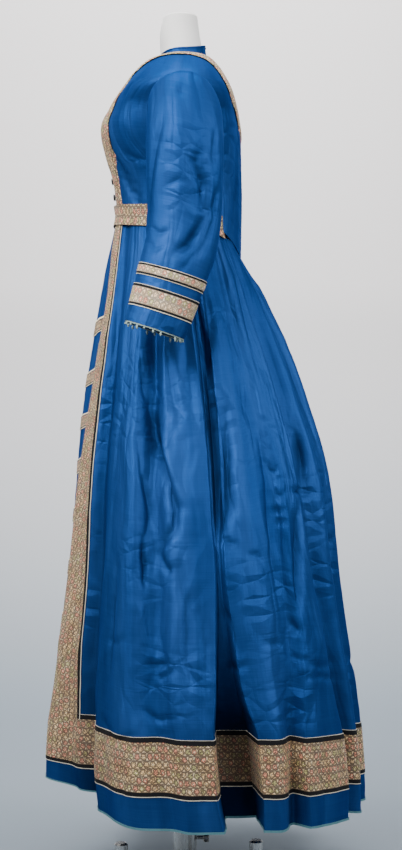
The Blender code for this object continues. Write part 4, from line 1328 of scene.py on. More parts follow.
SLEEVE_CREASES = creases(
    (7, 3.4, (150, 1.362), (132, 1.305), (112, 1.230), (106, 1.150)),
    (8, 7.0, (204, 1.300), (194, 1.274), (207, 1.240), (208, 1.205), (214, 1.190)),
    (7, 5.5, (214, 1.188), (204, 1.166), (190, 1.140), (168, 1.118)),
    (6, 4.5, (208, 1.160), (197, 1.138), (182, 1.118)),
    (5, 2.8, (206, 1.128), (200, 1.104), (190, 1.092)),
    (6, 3.0, (232, 1.182), (224, 1.150), (212, 1.118)),
    (6, 2.8, (240, 1.240), (232, 1.205), (236, 1.178)),
    (5, 1.6, (152, 1.236), (170, 1.246), (186, 1.244)),
    (5, 2.0, (120, 1.172), (142, 1.158), (160, 1.162)),
    (5, 1.8, (118, 1.146), (140, 1.130), (156, 1.136)),
    (5, 1.8, (132, 1.108), (152, 1.096), (168, 1.102)),
    (7, 2.2, (236, 1.345), (226, 1.300), (228, 1.262)),
    (6, 1.6, (172, 1.408), (176, 1.396), (182, 1.402)),
    (8, 2.0, (75, 1.405), (88, 1.365), (84, 1.310)),
    (6, 2.4, (58, 1.250), (72, 1.215), (90, 1.200)),
    (6, 2.6, (62, 1.170), (84, 1.156), (104, 1.166)),
    (7, 2.2, (250, 1.330), (262, 1.290), (256, 1.240)),
    (7, 2.4, (330, 1.260), (350, 1.245), (372, 1.250)),
    (7, 2.4, (325, 1.170), (350, 1.158), (375, 1.165)),
)


@dataclass
class Skirt:
    """The skirt: five panels, the border and ribbons on its front edges and hem."""

    finishes: Finishes
    crumple: Crumple = field(default_factory=lambda: Crumple(2.6, 2.2, 0.45, 4.5))
    main_rows: int = 176            # from the waist down to the hem border
    foot_rows: int = 15             # in the hem border, and again below it
    ribbon_rows: int = 3
    braid_level: float = 0.08       # height of the hem's braid, in levels
    ladder_rows: int = 9
    quiet: tuple = ((0, 0.6, 6.8, 8), (0.15, 1, 1, 0.6))    # levels, and how strong creases are there
    cuts: dict[str, Cut] = field(default_factory=lambda: {
        "skirt_front": Cut(0.250, 1.020, 0.179),
        "skirt_side_left": Cut(0.640, 1.080, 0.415),
        "skirt_side_right": Cut(0.600, 1.080, 0.412),
        "skirt_back_left": Cut(0.640, 1.080, 0.453),
        "skirt_back_right": Cut(0.640, 1.080, 0.454),
    })

    def build(self) -> None:
        """Makes the fine grid, then cuts every piece from it."""
        self.levels = np.concatenate([
            np.linspace(HEM_LEVEL, BORDER_FOOT, self.foot_rows)[:-1],
            np.linspace(BORDER_FOOT, BORDER_FOOT - RIBBON, self.ribbon_rows)[:-1],
            np.linspace(BORDER_FOOT - RIBBON, BORDER_TOP + RIBBON, self.foot_rows)[:-1],
            np.linspace(BORDER_TOP + RIBBON, BORDER_TOP, self.ribbon_rows)[:-1],
            np.linspace(BORDER_TOP, 0, self.main_rows)])
        left = self.places(Side.LEFT)
        right = self.places(Side.RIGHT)
        self.columns = [(Side.LEFT, p) for p in left] + [(Side.RIGHT, p) for p in right[::-1][1:-1]]
        self.index = {(side, round(place, 4)): k for k, (side, place) in enumerate(self.columns)}
        self.index[(Side.RIGHT, 0.0)] = 0
        self.index[(Side.RIGHT, float(CENTRE_BACK))] = self.index[(Side.LEFT, float(CENTRE_BACK))]
        made = [self.column(side, place) for side, place in self.columns]
        depths = np.stack([depth for _, depth in made], 1)
        base = Grid(np.stack([points for points, _ in made], 1), closed=True)
        heights = self.crumple.heights(base.points)
        centres = spline(SKIRT_ROWS, self.levels)[:, 5][:, None]
        placed = sum(crease_heights(base, creases, centres, side) for side, creases in
                     ((Side.LEFT, CREASES_LEFT), (Side.RIGHT, CREASES_RIGHT)))
        heights += placed
        # Painted shade, from 0 to 1: darker deep in the folds and along the creases
        folds = (depths - PAINTED_SHADE_START) / PAINTED_SHADE_DEPTH
        base.shade = np.clip(folds - placed * CREASE_SHADE, 0, 1)
        quiet = np.interp(self.levels, *self.quiet)
        self.grid = base.displaced(heights * quiet[:, None])
        self.panels()
        self.borders()
        self.ladder()

    @staticmethod
    def places(side: Side) -> list[float]:
        """Where the skirt's columns lie on one side, from the front to the back.

        Args:
            side: The side.

        Returns:
            Places, whose whole numbers are the fold lines.
        """
        made: list[float] = []
        for index, fold in enumerate(FOLDS[side][:-1]):
            steps = fold.steps * (FINER if side is Side.LEFT and index else 1)
            shares = [k / steps for k in range(steps)] if steps else RIBBON_COLUMNS
            made += [index + share for share in shares]
        return made + [float(CENTRE_BACK)]

    def column(self, side: Side, place: float) -> tuple[np.ndarray, np.ndarray]:
        """One column of the skirt, from the hem up.

        Args:
            side: The side it is on.
            place: Its place between the fold lines.

        Returns:
            Its points, and how far each is sunk in.
        """
        folds = FOLDS[side]
        index = min(int(place), len(folds) - 2)
        share = place - index
        eased = (1 - math.cos(math.pi * share)) / 2
        places = self.levels / FOLD_STEP
        angles, depths = (
            spline(first, places) * (1 - part) + spline(second, places) * part
            for first, second, part in (
                (folds[index].angles, folds[index + 1].angles, share),
                (folds[index].depths, folds[index + 1].depths, eased)))
        points = outline(spline(SKIRT_ROWS, self.levels), angles, depths / 1000)
        points[:, 0] *= side.value
        return points, depths / 1000

    def rows(self, top: float, foot: float) -> list[int]:
        """The rows of the fine grid between two levels, both included."""
        return [k for k, level in enumerate(self.levels) if top - 1e-6 <= level <= foot + 1e-6]

    def block(self, start: tuple[Side, float], end: tuple[Side, float],
              top: float = 0, foot: float = HEM_LEVEL) -> Grid:
        """The skirt from one side and place round to another, between two levels.

        Args:
            start: The side and place of its first column.
            end: The side and place of its last column.
            top: Its upper level.
            foot: Its lower level.

        Returns:
            That part of the fine grid.
        """
        first = self.index[(start[0], round(float(start[1]), 4))]
        last = self.index[(end[0], round(float(end[1]), 4))]
        count = len(self.columns)
        columns = [(first + k) % count for k in range((last - first) % count + 1)]
        return self.grid.block(self.rows(top, foot), columns)

    @staticmethod
    def run(side: Side, start: float, end: float) -> tuple:
        """The two ends of a piece on one side, in the order that block takes them."""
        ends = ((side, start), (side, end))
        return ends if side is Side.LEFT else ends[::-1]

    def panels(self) -> None:
        """The front panel, and a side and a back panel each way."""
        ends = {
            "skirt_front": ((Side.RIGHT, FRONT_EDGE), (Side.LEFT, FRONT_EDGE)),
            "skirt_side_left": self.run(Side.LEFT, FRONT_EDGE, SIDE_SEAM),
            "skirt_side_right": self.run(Side.RIGHT, FRONT_EDGE, SIDE_SEAM),
            "skirt_back_left": self.run(Side.LEFT, SIDE_SEAM, CENTRE_BACK),
            "skirt_back_right": self.run(Side.RIGHT, SIDE_SEAM, CENTRE_BACK),
        }
        for name, (start, end) in ends.items():
            panel_piece(name, self.block(start, end), self.finishes.silk)
        whole = self.grid.block(self.rows(HEM_LEVEL - self.braid_level, HEM_LEVEL),
                                list(range(len(self.columns))) + [0])
        trim_piece("hem_braid", whole, self.finishes.braid)

    def borders(self) -> None:
        """The border down each front edge and round the hem, and the ribbons beside it."""
        f = self.finishes
        over, under = BORDER_TOP + RIBBON, BORDER_FOOT - RIBBON
        front = ((Side.RIGHT, FRONT_EDGE), (Side.LEFT, FRONT_EDGE))
        trim_piece("hem_border_front_band", self.block(*front, over, under), f.hem,
                   ["hem_border_front"])
        trim_piece("hem_ribbon_front_band", self.block(*front, under, BORDER_FOOT), f.ribbon,
                   ["hem_ribbon_front"])
        bands = [
            ("front_border", FRONT_EDGE, BORDER_EDGE, 0, under, f.front, "border_print"),
            ("front_ribbon", BORDER_EDGE, RIBBON_END, 0, over, f.front_ribbon, "ribbon_black"),
            ("hem_border", BORDER_EDGE, CENTRE_BACK, over, under, f.hem, "border_print"),
            ("hem_ribbon_upper", RIBBON_END, CENTRE_BACK, BORDER_TOP, over, f.ribbon_foot,
             "ribbon_black"),
            ("hem_ribbon_lower", FRONT_EDGE, CENTRE_BACK, under, BORDER_FOOT, f.ribbon,
             "ribbon_black"),
        ]
        for side in Side:
            for word, start, end, top, foot, finish, slot in bands:
                upright = word.startswith("front")
                name = f"{word}_{side.word}"
                trim_piece(f"{name}_band", self.block(*self.run(side, start, end), top, foot),
                           finish, [name], Along.ROWS if upright else Along.COLUMNS,
                           upright and side is Side.LEFT)

    def ladder(self) -> None:
        """Bands across the front panel, each dipping to a point at the centre front."""
        panel = self.block((Side.RIGHT, FRONT_EDGE), (Side.LEFT, FRONT_EDGE))
        count = panel.points.shape[1]
        middle = (count - 1) / 2
        dip = LADDER_POINT * (1 - np.abs(np.arange(count) - middle) / middle)
        for number, level in enumerate(LADDER_LEVELS, 1):
            edges = np.linspace(LADDER_WIDTH / 2, -LADDER_WIDTH / 2, self.ladder_rows)
            wanted = level + (edges[:, None] + dip[None, :]) / LEVEL_FALL
            rows = np.interp(-wanted, -self.levels, np.arange(len(self.levels)))
            trim_piece(f"ladder_{number}_band", panel.sampled(rows), self.finishes.ladder,
                       [f"ladder_band_{number}"])


@dataclass
class Bodice:
    """The bodice: two fronts, a back, the standing collar, the straps, buttons and belt."""

    finishes: Finishes
    crumple: Crumple = field(default_factory=lambda: Crumple(0.6, 0.6, 0.30, 1.6))
    across: int = 40                # columns of each front, and of each half of the back
    waist_level: float = 0.012      # where the bodice's lowest row stops, above the skirt
    centre_y: float = -0.008        # where the creases' angles are measured from
    painted_shade_gain: float = 1.6         # creases are painted darker here than on the skirt, as shade
    collar_columns: int = 121
    collar_front: float = 0.0092    # height of the collar at the centre front
    collar_rise: float = 0.0070     # how much higher it is at the back
    collar_lean: float = 0.05       # the share of its radius that its top leans in by
    collar_seam: float = 0.0002
    strap_columns: int = 13
    strap_rows: int = 181
    strap_lift: float = 0.0010
    strap_end: float = 179.6        # degrees from the front, just short of the centre back
    button_radius: float = 0.0056
    button_height: float = 0.0032
    button_off: float = 0.0012      # how far a button's back is off the form
    belt_columns: int = 161
    belt_lift: float = 0.0030
    cuts: dict[str, Cut] = field(default_factory=lambda: {
        "bodice_front_left": Cut(0.270, 0.350, 0.069),
        "bodice_front_right": Cut(0.270, 0.350, 0.069),
        "bodice_back": Cut(0.430, 0.440, 0.138),
        "collar": Cut(0.350, 0.017, 0.0045),
    })

    def build(self) -> None:
        """Makes every piece of the bodice, and the belt."""
        self.panels()
        self.collar()
        self.straps()
        self.buttons()
        self.belt()

    def rows(self) -> list[tuple[float, float]]:
        """The bodice's rows, from the waist up.

        Returns:
            Each row's level, and the turn of the armhole that its side edge reaches.
        """
        underarm, tip = ARMHOLE_LEVEL - ARMHOLE_LEVELS, ARMHOLE_LEVEL + ARMHOLE_LEVELS
        rows = [(level, 0.0) for level in np.linspace(0.0, underarm, 31)[:-1]]
        rows += [(ARMHOLE_LEVEL - ARMHOLE_LEVELS * math.cos(math.radians(turn)), float(turn))
                 for turn in range(0, 181, 4)]
        return rows + [(level, 180.0) for level in np.linspace(tip, NECK_LEVEL, 25)[1:]]

    def height(self, points: np.ndarray) -> np.ndarray:
        """How far the cloth stands off its form.

        Args:
            points: Points of the bodice.

        Returns:
            A height at each point, in metres.
        """
        made = self.crumple.heights(points)
        for side in Side:
            made += crease_heights(Grid(points), BODICE_CREASES, self.centre_y, side)
        return made

    def creased(self, grid: Grid) -> Grid:
        """A panel with its creases and crumple.

        Args:
            grid: The smooth panel.

        Returns:
            The creased panel, with its painted shade.
        """
        heights = self.height(grid.points)
        # Painted shade along the creases
        grid.shade = np.clip(-heights * CREASE_SHADE * self.painted_shade_gain, 0, 1)
        return grid.displaced(heights)

    def panels(self) -> None:
        """The two fronts and the back."""
        rows = self.rows()
        levels = np.array([level for level, _ in rows])[:, None]
        levels[0] = self.waist_level
        reach = ARMHOLE_ANGLES * np.sin(np.radians([turn for _, turn in rows]))[:, None]
        share = np.linspace(0, 1, self.across + 1)[None, :]
        front = self.creased(Grid(bodice_points(levels, (ARMHOLE_ANGLE - reach) * share)))
        half = 180 + (ARMHOLE_ANGLE + reach - 180) * share[:, ::-1]
        angles = np.concatenate([half, 360 - half[:, ::-1][:, 1:]], 1)
        back = self.creased(Grid(bodice_points(levels, angles)))
        panels = {"bodice_front_left": front, "bodice_front_right": front.mirrored(),
                  "bodice_back": back}
        for name, grid in panels.items():
            panel_piece(name, grid, self.finishes.silk)

    def collar(self) -> None:
        """The standing collar, open at the centre front, and its piping."""
        angles = np.linspace(1.0, 359.0, self.collar_columns)
        base = bodice_points(np.full(self.collar_columns, float(NECK_LEVEL)), angles)
        rise = self.collar_front + (1 - np.cos(np.radians(angles))) / 2 * self.collar_rise
        centre = np.array([0.0, BODICE[NECK_LEVEL].y_side, 0.0])
        rows = []
        for share in np.linspace(0, 1, 7):
            lean = (centre - base) * np.array([1, 1, 0]) * self.collar_lean * share
            rows.append(base + lean + UP * (rise * share + self.collar_seam)[:, None])
        grid = Grid(np.array(rows))
        panel_piece("collar", grid, self.finishes.silk)
        edge = grid.block([5, 6], range(self.collar_columns))
        trim_piece("collar_piping", edge, self.finishes.silk)

    def straps(self) -> None:
        """Borders from the waist over each shoulder to a point at the centre back."""
        along = np.linspace(0, len(STRAP) - 1, self.strap_rows)
        stops = spline(np.array([[stop.level, stop.angle] for stop in STRAP]), along)
        half = self.strap_columns // 2
        step = STRAP_WIDTH / (self.strap_columns - 1)
        centre = bodice_points(stops[:, 0], stops[:, 1])
        run = np.gradient(centre, axis=0)
        near = bodice_points(stops[:, 0], stops[:, 1] + 0.1) - centre
        up = bodice_points(stops[:, 0] + 0.01, stops[:, 1]) - centre
        way = unit(np.cross(run, np.cross(near, up)))
        lines = {half: (stops[:, 0], stops[:, 1])}
        for sign in (1, -1):
            level, angle = stops[:, 0], stops[:, 1]
            for k in range(1, half + 1):
                level, angle = moved(level, angle, way * sign * step)
                lines[half + k * sign] = (level, np.minimum(angle, self.strap_end))
        points = np.stack([bodice_points(*lines[k]) for k in range(self.strap_columns)], 1)
        grid = Grid(points)
        grid = grid.displaced(self.height(grid.points) + self.strap_lift)
        for side in Side:
            part = grid if side is Side.LEFT else grid.mirrored()
            trim_piece(f"strap_{side.word}_band", part, self.finishes.strap,
                       [f"strap_{side.word}"], Along.ROWS)

    def buttons(self) -> None:
        """Domed buttons with a rim, down the centre front."""
        for number, level in enumerate(BUTTON_LEVELS, 1):
            here, up = bodice_points(np.array([level, level + 0.01]), np.array([0.0, 0.0]))
            normal = Vector((0, -(up[2] - here[2]), up[1] - here[1])).normalized()
            turn = normal.to_track_quat("Z", "Y")
            piece = dome(f"button_{number}_dome", self.button_radius, self.button_height)
            place = turn.to_matrix().to_4x4()
            place.translation = Vector(here) + normal * self.button_off
            piece.data.transform(place)
            finished(piece, self.finishes.button, [f"button_{number}"])

    def belt(self) -> None:
        """The belt, over the seam of the bodice and the skirt."""
        angles = np.linspace(-BELT_REACH, BELT_REACH, self.belt_columns)
        skirt = spline(SKIRT_ROWS, np.array([BELT_BELOW, BELT_BELOW / 2, 0.0]))
        bodice = spline(BODICE_ROWS, np.linspace(0.05, BELT_ABOVE, 6))
        rows = [outline(row[None, :], angles) for row in [*skirt, *bodice]]
        grid = Grid(np.array(rows)).lifted(self.belt_lift)
        heights = Crumple(0.4, 0.5, 0.2).heights(grid.points)
        grid.points = grid.points + grid.normals * heights[..., None]
        trim_piece("belt_band", grid, self.finishes.belt, ["belt"])


def dome(name: str, radius: float, height: float) -> bpy.types.Object:
    """A low button: a cylinder whose top is bevelled round and whose middle is sunk.

    Args:
        name: The piece's name.
        radius: Its radius.
        height: Its height.

    Returns:
        The piece, standing on the origin.
    """
    bpy.ops.object.select_all(action="DESELECT")
    bpy.ops.mesh.primitive_cylinder_add(vertices=28, radius=radius, depth=height,
                                        location=(0, 0, height / 2))
    piece = bpy.context.object
    piece.name = name
    bpy.ops.object.transform_apply(location=True, rotation=True, scale=True)
    select_top(piece, height)
    bpy.ops.object.mode_set(mode="EDIT")
    bpy.ops.mesh.bevel(offset=height * 0.6, segments=4, affect="EDGES")
    bpy.ops.object.mode_set(mode="OBJECT")
    select_top(piece, height)
    bpy.ops.object.mode_set(mode="EDIT")
    bpy.ops.mesh.inset(thickness=radius * 0.16, depth=0)
    bpy.ops.mesh.inset(thickness=radius * 0.06, depth=-height * 0.14)
    bpy.ops.object.mode_set(mode="OBJECT")
    piece.data.shade_smooth()
    return piece


def select_top(piece: bpy.types.Object, height: float) -> None:
    """Selects the faces at the top of a piece, and nothing else.

    Args:
        piece: The piece.
        height: Its height.
    """
    bpy.ops.object.mode_set(mode="EDIT")
    bpy.ops.mesh.select_mode(type="FACE")
    bpy.ops.mesh.select_all(action="DESELECT")
    bpy.ops.object.mode_set(mode="OBJECT")
    for face in piece.data.polygons:
        face.select = face.normal.z > 0.95 and face.center.z > height * 0.9


@dataclass
class Sleeve:
    """One sleeve: its upper and under pieces, the cuff's bands and its picot edging."""

    side: Side
    finishes: Finishes
    cuts: dict[str, Cut] = field(default_factory=lambda: {
        "upper": Cut(0.290, 0.460, 0.108), "under": Cut(0.150, 0.370, 0.045)})
    turn: int = 3                   # degrees round the arm between two columns
    seam: int = 60                  # degrees each way from the inner line to the seams
    rows_above: int = 116           # rows between the cuff and the armhole
    row_height: float = 0.0035      # of the cuff's rows
    crease_points: int = 60
    picots: int = 22
    picot_radius: float = 0.0017
    picot_height: float = 0.0036
    edge_inset: float = 0.0010      # how far inside the sleeve's edge the edging is
    edge_wall: float = 0.0008
    edge_drop: float = 0.0026       # how far it hangs below that edge

    def build(self) -> None:
        """Makes the fine grid of the whole sleeve, then cuts every piece from it."""
        marks = np.cumsum([0, CUFF_BLUE, CUFF_RIBBON, CUFF_LOWER - 2 * CUFF_RIBBON, CUFF_RIBBON,
                           CUFF_SPACE, CUFF_RIBBON, CUFF_UPPER - 2 * CUFF_RIBBON, CUFF_RIBBON])
        cuff: list[float] = []
        self.marks: list[int] = []
        for low, high in zip(marks, marks[1:]):
            self.marks.append(len(cuff))
            steps = max(2, int((high - low) / self.row_height))
            cuff += list(np.linspace(low, high, steps + 1)[:-1])
        self.marks.append(len(cuff))
        cuff.append(marks[-1])
        forearm = SLEEVE_EDGE - np.array(cuff) / FOREARM
        self.levels = np.concatenate([forearm, np.linspace(forearm[-1], 0, self.rows_above)[1:]])
        turns = np.arange(0, 360, self.turn)
        base = Grid(self.points(turns), closed=True)
        shift = 0.0 if self.side is Side.LEFT else 0.37
        heights = Crumple(1.0, 0.6, 0.20, 2.6, shift).heights(base.points)
        placed = self.creased(base)
        heights += placed
        # Painted shade along the sleeve's creases
        base.shade = np.clip(-placed * CREASE_SHADE * 0.8, 0, 1)
        calm = np.interp(self.levels, [0, 0.5, 5.6, 6.2, 7], [0.2, 1, 1, 0.45, 0.45])
        self.grid = base.displaced(heights * calm[:, None])
        self.sleeve_panels()
        self.cuffs()
        self.edging()

    def points(self, turns: np.ndarray) -> np.ndarray:
        """The sleeve's smooth form.

        Args:
            turns: The columns' degrees round the arm.

        Returns:
            Points, with rows from the sleeve's edge up to the armhole.
        """
        t = np.radians(turns)
        start = bodice_points(ARMHOLE_LEVEL - ARMHOLE_LEVELS * np.cos(t),
                              ARMHOLE_ANGLE - ARMHOLE_ANGLES * np.sin(t))
        rings = [start + np.array([0.0003, 0, 0])]
        for ring in SLEEVE:
            lean, pitch = math.radians(ring.lean), math.radians(ring.pitch)
            front = np.array([0, -math.cos(pitch), math.sin(pitch)])
            outer = np.array([math.cos(lean), 0, math.sin(lean)])
            centre = np.array([ring.x, ring.y, ring.z])
            rings.append(centre + ring.depth * np.sin(t)[:, None] * front
                         - ring.width * np.cos(t)[:, None] * outer)
        return spline(np.array(rings), self.levels)

    def on_arm(self, base: Grid, turn: float, height: float) -> np.ndarray:
        """The point of the sleeve at a turn round the arm and a height.

        Args:
            base: The smooth sleeve.
            turn: Degrees round the arm.
            height: The height.

        Returns:
            The point.
        """
        count = base.points.shape[1]
        place = turn / self.turn
        share = place - math.floor(place)
        first, second = (
            np.array([np.interp(height, column[:, 2], column[:, k]) for k in range(3)])
            for column in (base.points[:, (math.floor(place) + step) % count] for step in (0, 1)))
        return first * (1 - share) + second * share

    def creased(self, base: Grid) -> np.ndarray:
        """The sleeve's creases, placed by turn round the arm and height.

        Args:
            base: The smooth sleeve.

        Returns:
            A height at each point, in metres.
        """
        made = np.zeros(base.points.shape[:2])
        for crease in SLEEVE_CREASES:
            path = path_points(crease, self.crease_points)
            line = np.array([self.on_arm(base, turn, height) for turn, height in path])
            gap = np.linalg.norm(base.points[:, :, None] - line[None, None], axis=-1)
            made -= crease.trough(gap.min(-1), gap.argmin(-1) / (len(line) - 1))
        return made

    def part(self, rows: Sequence[int], columns: Sequence[int]) -> Grid:
        """A part of the sleeve, on the sleeve's own side.

        Args:
            rows: Its rows of the fine grid.
            columns: Its columns.

        Returns:
            That part.
        """
        grid = self.grid.block(rows, columns)
        return grid if self.side is Side.LEFT else grid.mirrored()

    def sleeve_panels(self) -> None:
        """The upper and the under sleeve."""
        count = self.grid.points.shape[1]
        rows = range(len(self.levels))
        step = self.seam // self.turn
        spans = {"upper": range(step, count - step + 1), "under": range(-step, step + 1)}
        for word, span in spans.items():
            panel_piece(f"sleeve_{word}_{self.side.word}",
                        self.part(rows, [k % count for k in span]), self.finishes.silk)

    def cuffs(self) -> None:
        """The two borders round the cuff, each between two ribbons."""
        f = self.finishes
        count = self.grid.points.shape[1]
        start = -self.seam // self.turn
        around = [k % count for k in range(start, start + count + 1)]
        bands = [
            ("lower_cord", 1, 2, f.cuff_ribbon_foot, "ribbon_black", []),
            ("lower", 2, 3, f.cuff_lower, "border_print", [f"cuff_band_lower_{self.side.word}"]),
            ("lower_top", 3, 4, f.cuff_ribbon, "ribbon_black", []),
            ("upper_cord", 5, 6, f.cuff_ribbon_foot, "ribbon_black", []),
            ("upper", 6, 7, f.cuff_upper, "border_print", [f"cuff_band_upper_{self.side.word}"]),
            ("upper_top", 7, 8, f.cuff_ribbon, "ribbon_black", []),
        ]
        for word, low, high, finish, slot, nodes in bands:
            rows = range(self.marks[low], self.marks[high] + 1)
            trim_piece(f"cuff_{word}_{self.side.word}_band", self.part(rows, around), finish,
                       nodes, from_end=True)

    def edging(self) -> None:
        """A narrow strip inside the sleeve's edge with small uneven picots."""
        count = self.grid.points.shape[1]
        rim = self.part([0, 1], [k % count for k in range(count + 1)]).points[0]
        pitch = math.radians(SLEEVE[-1].pitch)
        down = np.array([0, -math.sin(pitch), -math.cos(pitch)])
        inward = unit(rim[:-1].mean(0) - rim)
        inner = rim + inward * self.edge_inset
        made = bmesh.new()
        self.strip(made, inner, inward, down)
        total = len(inner) - 1
        for number in range(self.picots):
            if math.sin(number * 1.7 + self.side.value) >= -0.8:
                self.picot(made, number, inner[int(number * total / self.picots)], down)
        bmesh.ops.recalc_face_normals(made, faces=made.faces)
        name = f"cuff_edging_{self.side.word}"
        mesh = bpy.data.meshes.new(f"{name}_picots")
        made.to_mesh(mesh)
        made.free()
        mesh.shade_smooth()
        finished(placed(f"{name}_picots", mesh), self.finishes.edging, [name])

    def strip(self, made: bmesh.types.BMesh, inner: np.ndarray, inward: np.ndarray,
              down: np.ndarray) -> None:
        """Adds the edging's strip, a thin closed band.

        Args:
            made: The mesh to add it to.
            inner: The band's outer line, whose last point is its first again.
            inward: The way to the arm's middle at each of those points.
            down: The way down the sleeve.
        """
        foot, top = inner + down * self.edge_drop, inner + down * 0.0003
        wall = inward * self.edge_wall
        rings = [[made.verts.new(point) for point in line[:-1]]
                 for line in (foot, top, top + wall, foot + wall)]
        total = len(rings[0])
        for a, b in zip(rings, rings[1:] + rings[:1]):
            for k in range(total):
                n = (k + 1) % total
                made.faces.new((a[k], a[n], b[n], b[k]))

    def picot(self, made: bmesh.types.BMesh, number: int, place: np.ndarray,
              down: np.ndarray) -> None:
        """Adds one picot, a small uneven lump.

        Args:
            made: The mesh to add it to.
            number: Its number, which sets its size and its unevenness.
            place: The point of the edging from which it hangs.
            down: The way down the sleeve.
        """
        spread = 0.8 + 0.35 * math.sin(number * 2.3)
        foot = place + down * (0.0030 + 0.0028 * spread)
        sizes = np.array([self.picot_radius, self.picot_radius, self.picot_height * spread])
        before = len(made.verts)
        bmesh.ops.create_icosphere(made, subdivisions=2, radius=1.0)
        made.verts.ensure_lookup_table()
        for vertex in made.verts[before:]:
            p = np.array(vertex.co)
            lump = 1 + 0.22 * math.sin(p[0] * 5 + number) * math.cos(p[2] * 6)
            vertex.co = Vector(foot + p * (sizes * lump))


@dataclass
class Form:
    """The limbless form under the dress, and its stand.

    Each inset is how far inside the bodice the form lies, at one of the bodice's rings.
    """

    finishes: Finishes
    inset: tuple[float, ...] = (0.0110, 0.0080, 0.0070, 0.0080, 0.0085, 0.0030, 0.0055)
    lowered_from: int = 4           # the bodice's ring from which the form is lower as well
    rows: int = 121
    columns: int = 96
    foot_shares: tuple[float, ...] = (0.05, 0.5, 0.92)      # of its radius, where it closes below
    top_shares: tuple[float, ...] = (0.95, 0.6, 0.05)
    hips: tuple[Ring, ...] = (
        Ring("seat", 0.915, 0.915, 0.915, 0.116, -0.092, 0.000, 0.098, 2.1),
        Ring("hip", 1.010, 1.010, 1.010, 0.128, -0.102, 0.000, 0.106, 2.1),
        Ring("belly", 1.115, 1.105, 1.080, 0.124, -0.108, -0.002, 0.100, 2.1),
    )
    neck: tuple[Ring, ...] = (
        Ring("collar", 1.512, 1.524, 1.539, 0.055, -0.0445, -0.010, 0.031, 2.0),
        Ring("throat", 1.558, 1.560, 1.564, 0.046, -0.0460, -0.010, 0.027, 2.0),
        Ring("cap", 1.590, 1.592, 1.594, 0.040, -0.0400, -0.008, 0.023, 2.0),
    )

    def build(self) -> None:
        """The torso with its neck, then the stand."""
        places = np.linspace(0, len(self.rings()) - 1, self.rows)
        angles = np.linspace(0, 360, self.columns + 1)[:-1]
        levels = np.clip(places - len(self.hips), 0, NECK_LEVEL)[:, None]
        dips = cleft(np.broadcast_to(levels, (self.rows, self.columns)), angles[None, :])
        points = np.array([outline(row[None, :], angles, dip)
                           for row, dip in zip(spline(self.rings(), places), dips)])
        low, high = points[0].mean(0), points[-1].mean(0)
        foot = [low + (points[0] - low) * share for share in self.foot_shares]
        top = [high + (points[-1] - high) * share for share in self.top_shares]
        grid = Grid(np.concatenate([foot, points, top]), closed=True)
        mesh = mesh_of("form_torso_cover", grid, None)
        made = bmesh.new()
        made.from_mesh(mesh)
        bmesh.ops.holes_fill(made, edges=made.edges, sides=200)
        made.to_mesh(mesh)
        made.free()
        mesh.shade_smooth()
        finished(placed("form_torso_cover", mesh), self.finishes.jersey,
                 ["form_torso"])
        self.stand()

    def rings(self) -> np.ndarray:
        """The form's rings from the seat up: its hips, the bodice's rings drawn in, its neck."""
        rows = [np.array(ring.row()) for ring in self.hips]
        for level, depth in enumerate(self.inset):
            row = BODICE_ROWS[level].copy()
            row[3:7] += np.array([-depth, depth, 0, -depth])
            if level >= self.lowered_from:
                row[:3] -= depth
            rows.append(row)
        return np.array(rows + [np.array(ring.row()) for ring in self.neck])

    def stand(self) -> None:
        """Finishes for the stand's own solids, and its small fittings."""
        f = self.finishes
        posts = ("front", "back")
        finishes = {"stand_pole": f.steel, "stand_socket": f.steel, "stand_thumbscrew": f.steel,
                    "stand_base": f.paint, **{f"stand_post_{word}": f.steel for word in posts}}
        for name, finish in finishes.items():
            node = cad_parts[name]
            node.data.materials.clear()
            node.data.materials.append(finish)
        for word in posts:
            low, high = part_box(f"stand_post_{word}")
            middle = (low + high) / 2
            self.ring(f"post_{word}_foot_ring", Vector((middle.x, middle.y, low.z + 0.004)),
                      0.0145, 0.0022, f.rubber)
        low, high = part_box("stand_socket")
        self.ring("socket_lip", Vector((0, 0, high.z - 0.004)), 0.0225, 0.0016, f.steel)

    def ring(self, name: str, centre: Vector, radius: float, thick: float,
             finish: bpy.types.Material) -> None:
        """A small ring round a part of the stand.

        Args:
            name: The piece's name.
            centre: Its middle.
            radius: Its radius.
            thick: The radius of its section.
            finish: Its material.
        """
        bpy.ops.object.select_all(action="DESELECT")
        bpy.ops.mesh.primitive_torus_add(major_segments=40, minor_segments=10,
                                         major_radius=radius, minor_radius=thick, location=centre)
        piece = bpy.context.object
        piece.name = name
        bpy.ops.object.transform_apply(location=True, rotation=True, scale=True)
        piece.data.shade_smooth()
        finished(piece, finish, [])


@dataclass(frozen=True)
class Lamp:
    """A soft square lamp, whose beam is kept within a spread in degrees."""

    name: str
    place: Place
    aim: Place
    size: float
    power: float
    spread: float

    def build(self) -> None:
        """Puts the lamp in the scene, turned to its aim."""
        data = bpy.data.lights.new(self.name, "AREA")
        data.size = self.size
        data.energy = self.power
        data.spread = math.radians(self.spread)
        lamp = bpy.data.objects.new(self.name, data)
        lamp.location = self.place
        way = Vector(self.aim) - Vector(self.place)
        lamp.rotation_euler = way.to_track_quat("-Z", "Y").to_euler()
        bpy.context.scene.collection.objects.link(lamp)


LAMPS = [
    Lamp("key", (2.2, -1.4, 2.8), (0.2, 0, 1.40), 1.2, 17, 66),
    Lamp("fill", (2.4, 1.4, 2.6), (0.2, 0, 1.35), 1.4, 9, 66),
    Lamp("front", (1.0, -2.7, 2.2), (0.1, -0.1, 1.2), 1.4, 13, 80),
    Lamp("top", (0.5, -0.2, 3.5), (0, 0, 1.1), 1.4, 22, 120),
    Lamp("back", (0.8, 2.8, 2.0), (0.1, 0.2, 0.9), 1.4, 15, 90),
    Lamp("wall", (-0.7, 0.0, 4.2), (-2.6, 0.0, 2.2), 2.6, 190, 130),
]


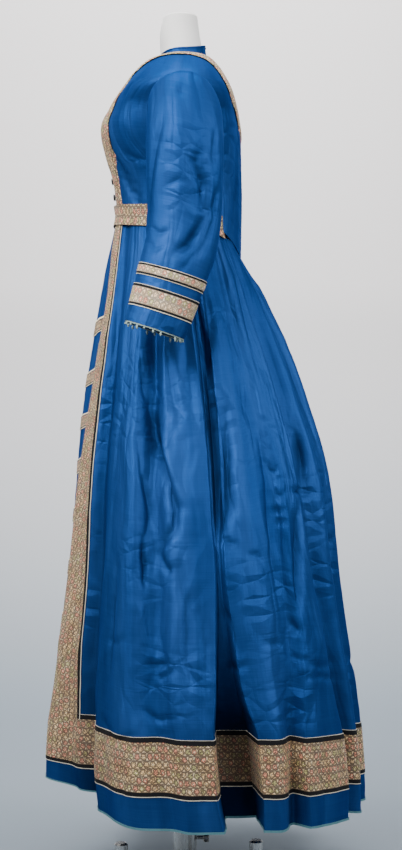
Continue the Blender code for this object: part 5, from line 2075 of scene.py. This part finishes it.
@dataclass
class Studio:
    """The camera, the soft lights and the pale floor that curves up behind the dress."""

    camera_place: Place = (2.70, 0.03, 0.84)
    lens: float = 61.88
    sensor: float = 36.0
    sky: Colour = (0.80, 0.82, 0.86)
    sky_strength: float = 0.12
    wall_x: float = -2.6
    bend: float = 1.2               # radius of the sweep from the floor to the wall
    floor_end: float = 6.0
    flat_run: float = 1.5           # of floor behind the dress, before the sweep starts
    wall_height: float = 5.0
    half_width: float = 5.0

    def build(self) -> None:
        """Places the camera square to the dress's left side, then the lamps and the paper."""
        data = bpy.data.cameras.new("camera")
        data.lens = self.lens
        data.sensor_width = self.sensor
        camera = bpy.data.objects.new("camera", data)
        camera.location = self.camera_place
        camera.rotation_euler = (math.radians(90), 0, math.radians(90))
        bpy.context.scene.collection.objects.link(camera)
        bpy.context.scene.camera = camera
        for lamp in LAMPS:
            lamp.build()
        self.backdrop()
        self.world()

    def backdrop(self) -> None:
        """A floor that sweeps up into a wall, on the far side from the camera."""
        start = self.wall_x + self.bend
        turns = np.radians(np.linspace(0, 90, 25))
        profile = [(self.floor_end, 0.0), (start + self.flat_run, 0.0)]
        profile += [(start - self.bend * math.sin(t), self.bend - self.bend * math.cos(t))
                    for t in turns]
        profile.append((self.wall_x, self.wall_height))
        across = np.linspace(-self.half_width, self.half_width, 11)
        points = np.array([[(x, y, z) for y in across] for x, z in profile])
        piece = placed("backdrop", mesh_of("backdrop", Grid(points), None))
        piece.data.materials.append(Paper().material())

    def world(self) -> None:
        """A faint even light from all round."""
        world = bpy.data.worlds.new("studio")
        world.use_nodes = True
        background = world.node_tree.nodes["Background"]
        background.inputs[0].default_value = (*self.sky, 1)
        background.inputs[1].default_value = self.sky_strength
        bpy.context.scene.world = world


def main() -> None:
    """Builds every part of the dress, its form and the studio, and measures them."""
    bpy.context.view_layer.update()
    finishes = Finishes()
    Form(finishes).build()
    Bodice(finishes).build()
    for side in Side:
        Sleeve(side, finishes).build()
    Skirt(finishes).build()
    Studio().build()


if __name__ == "__main__":
    main()
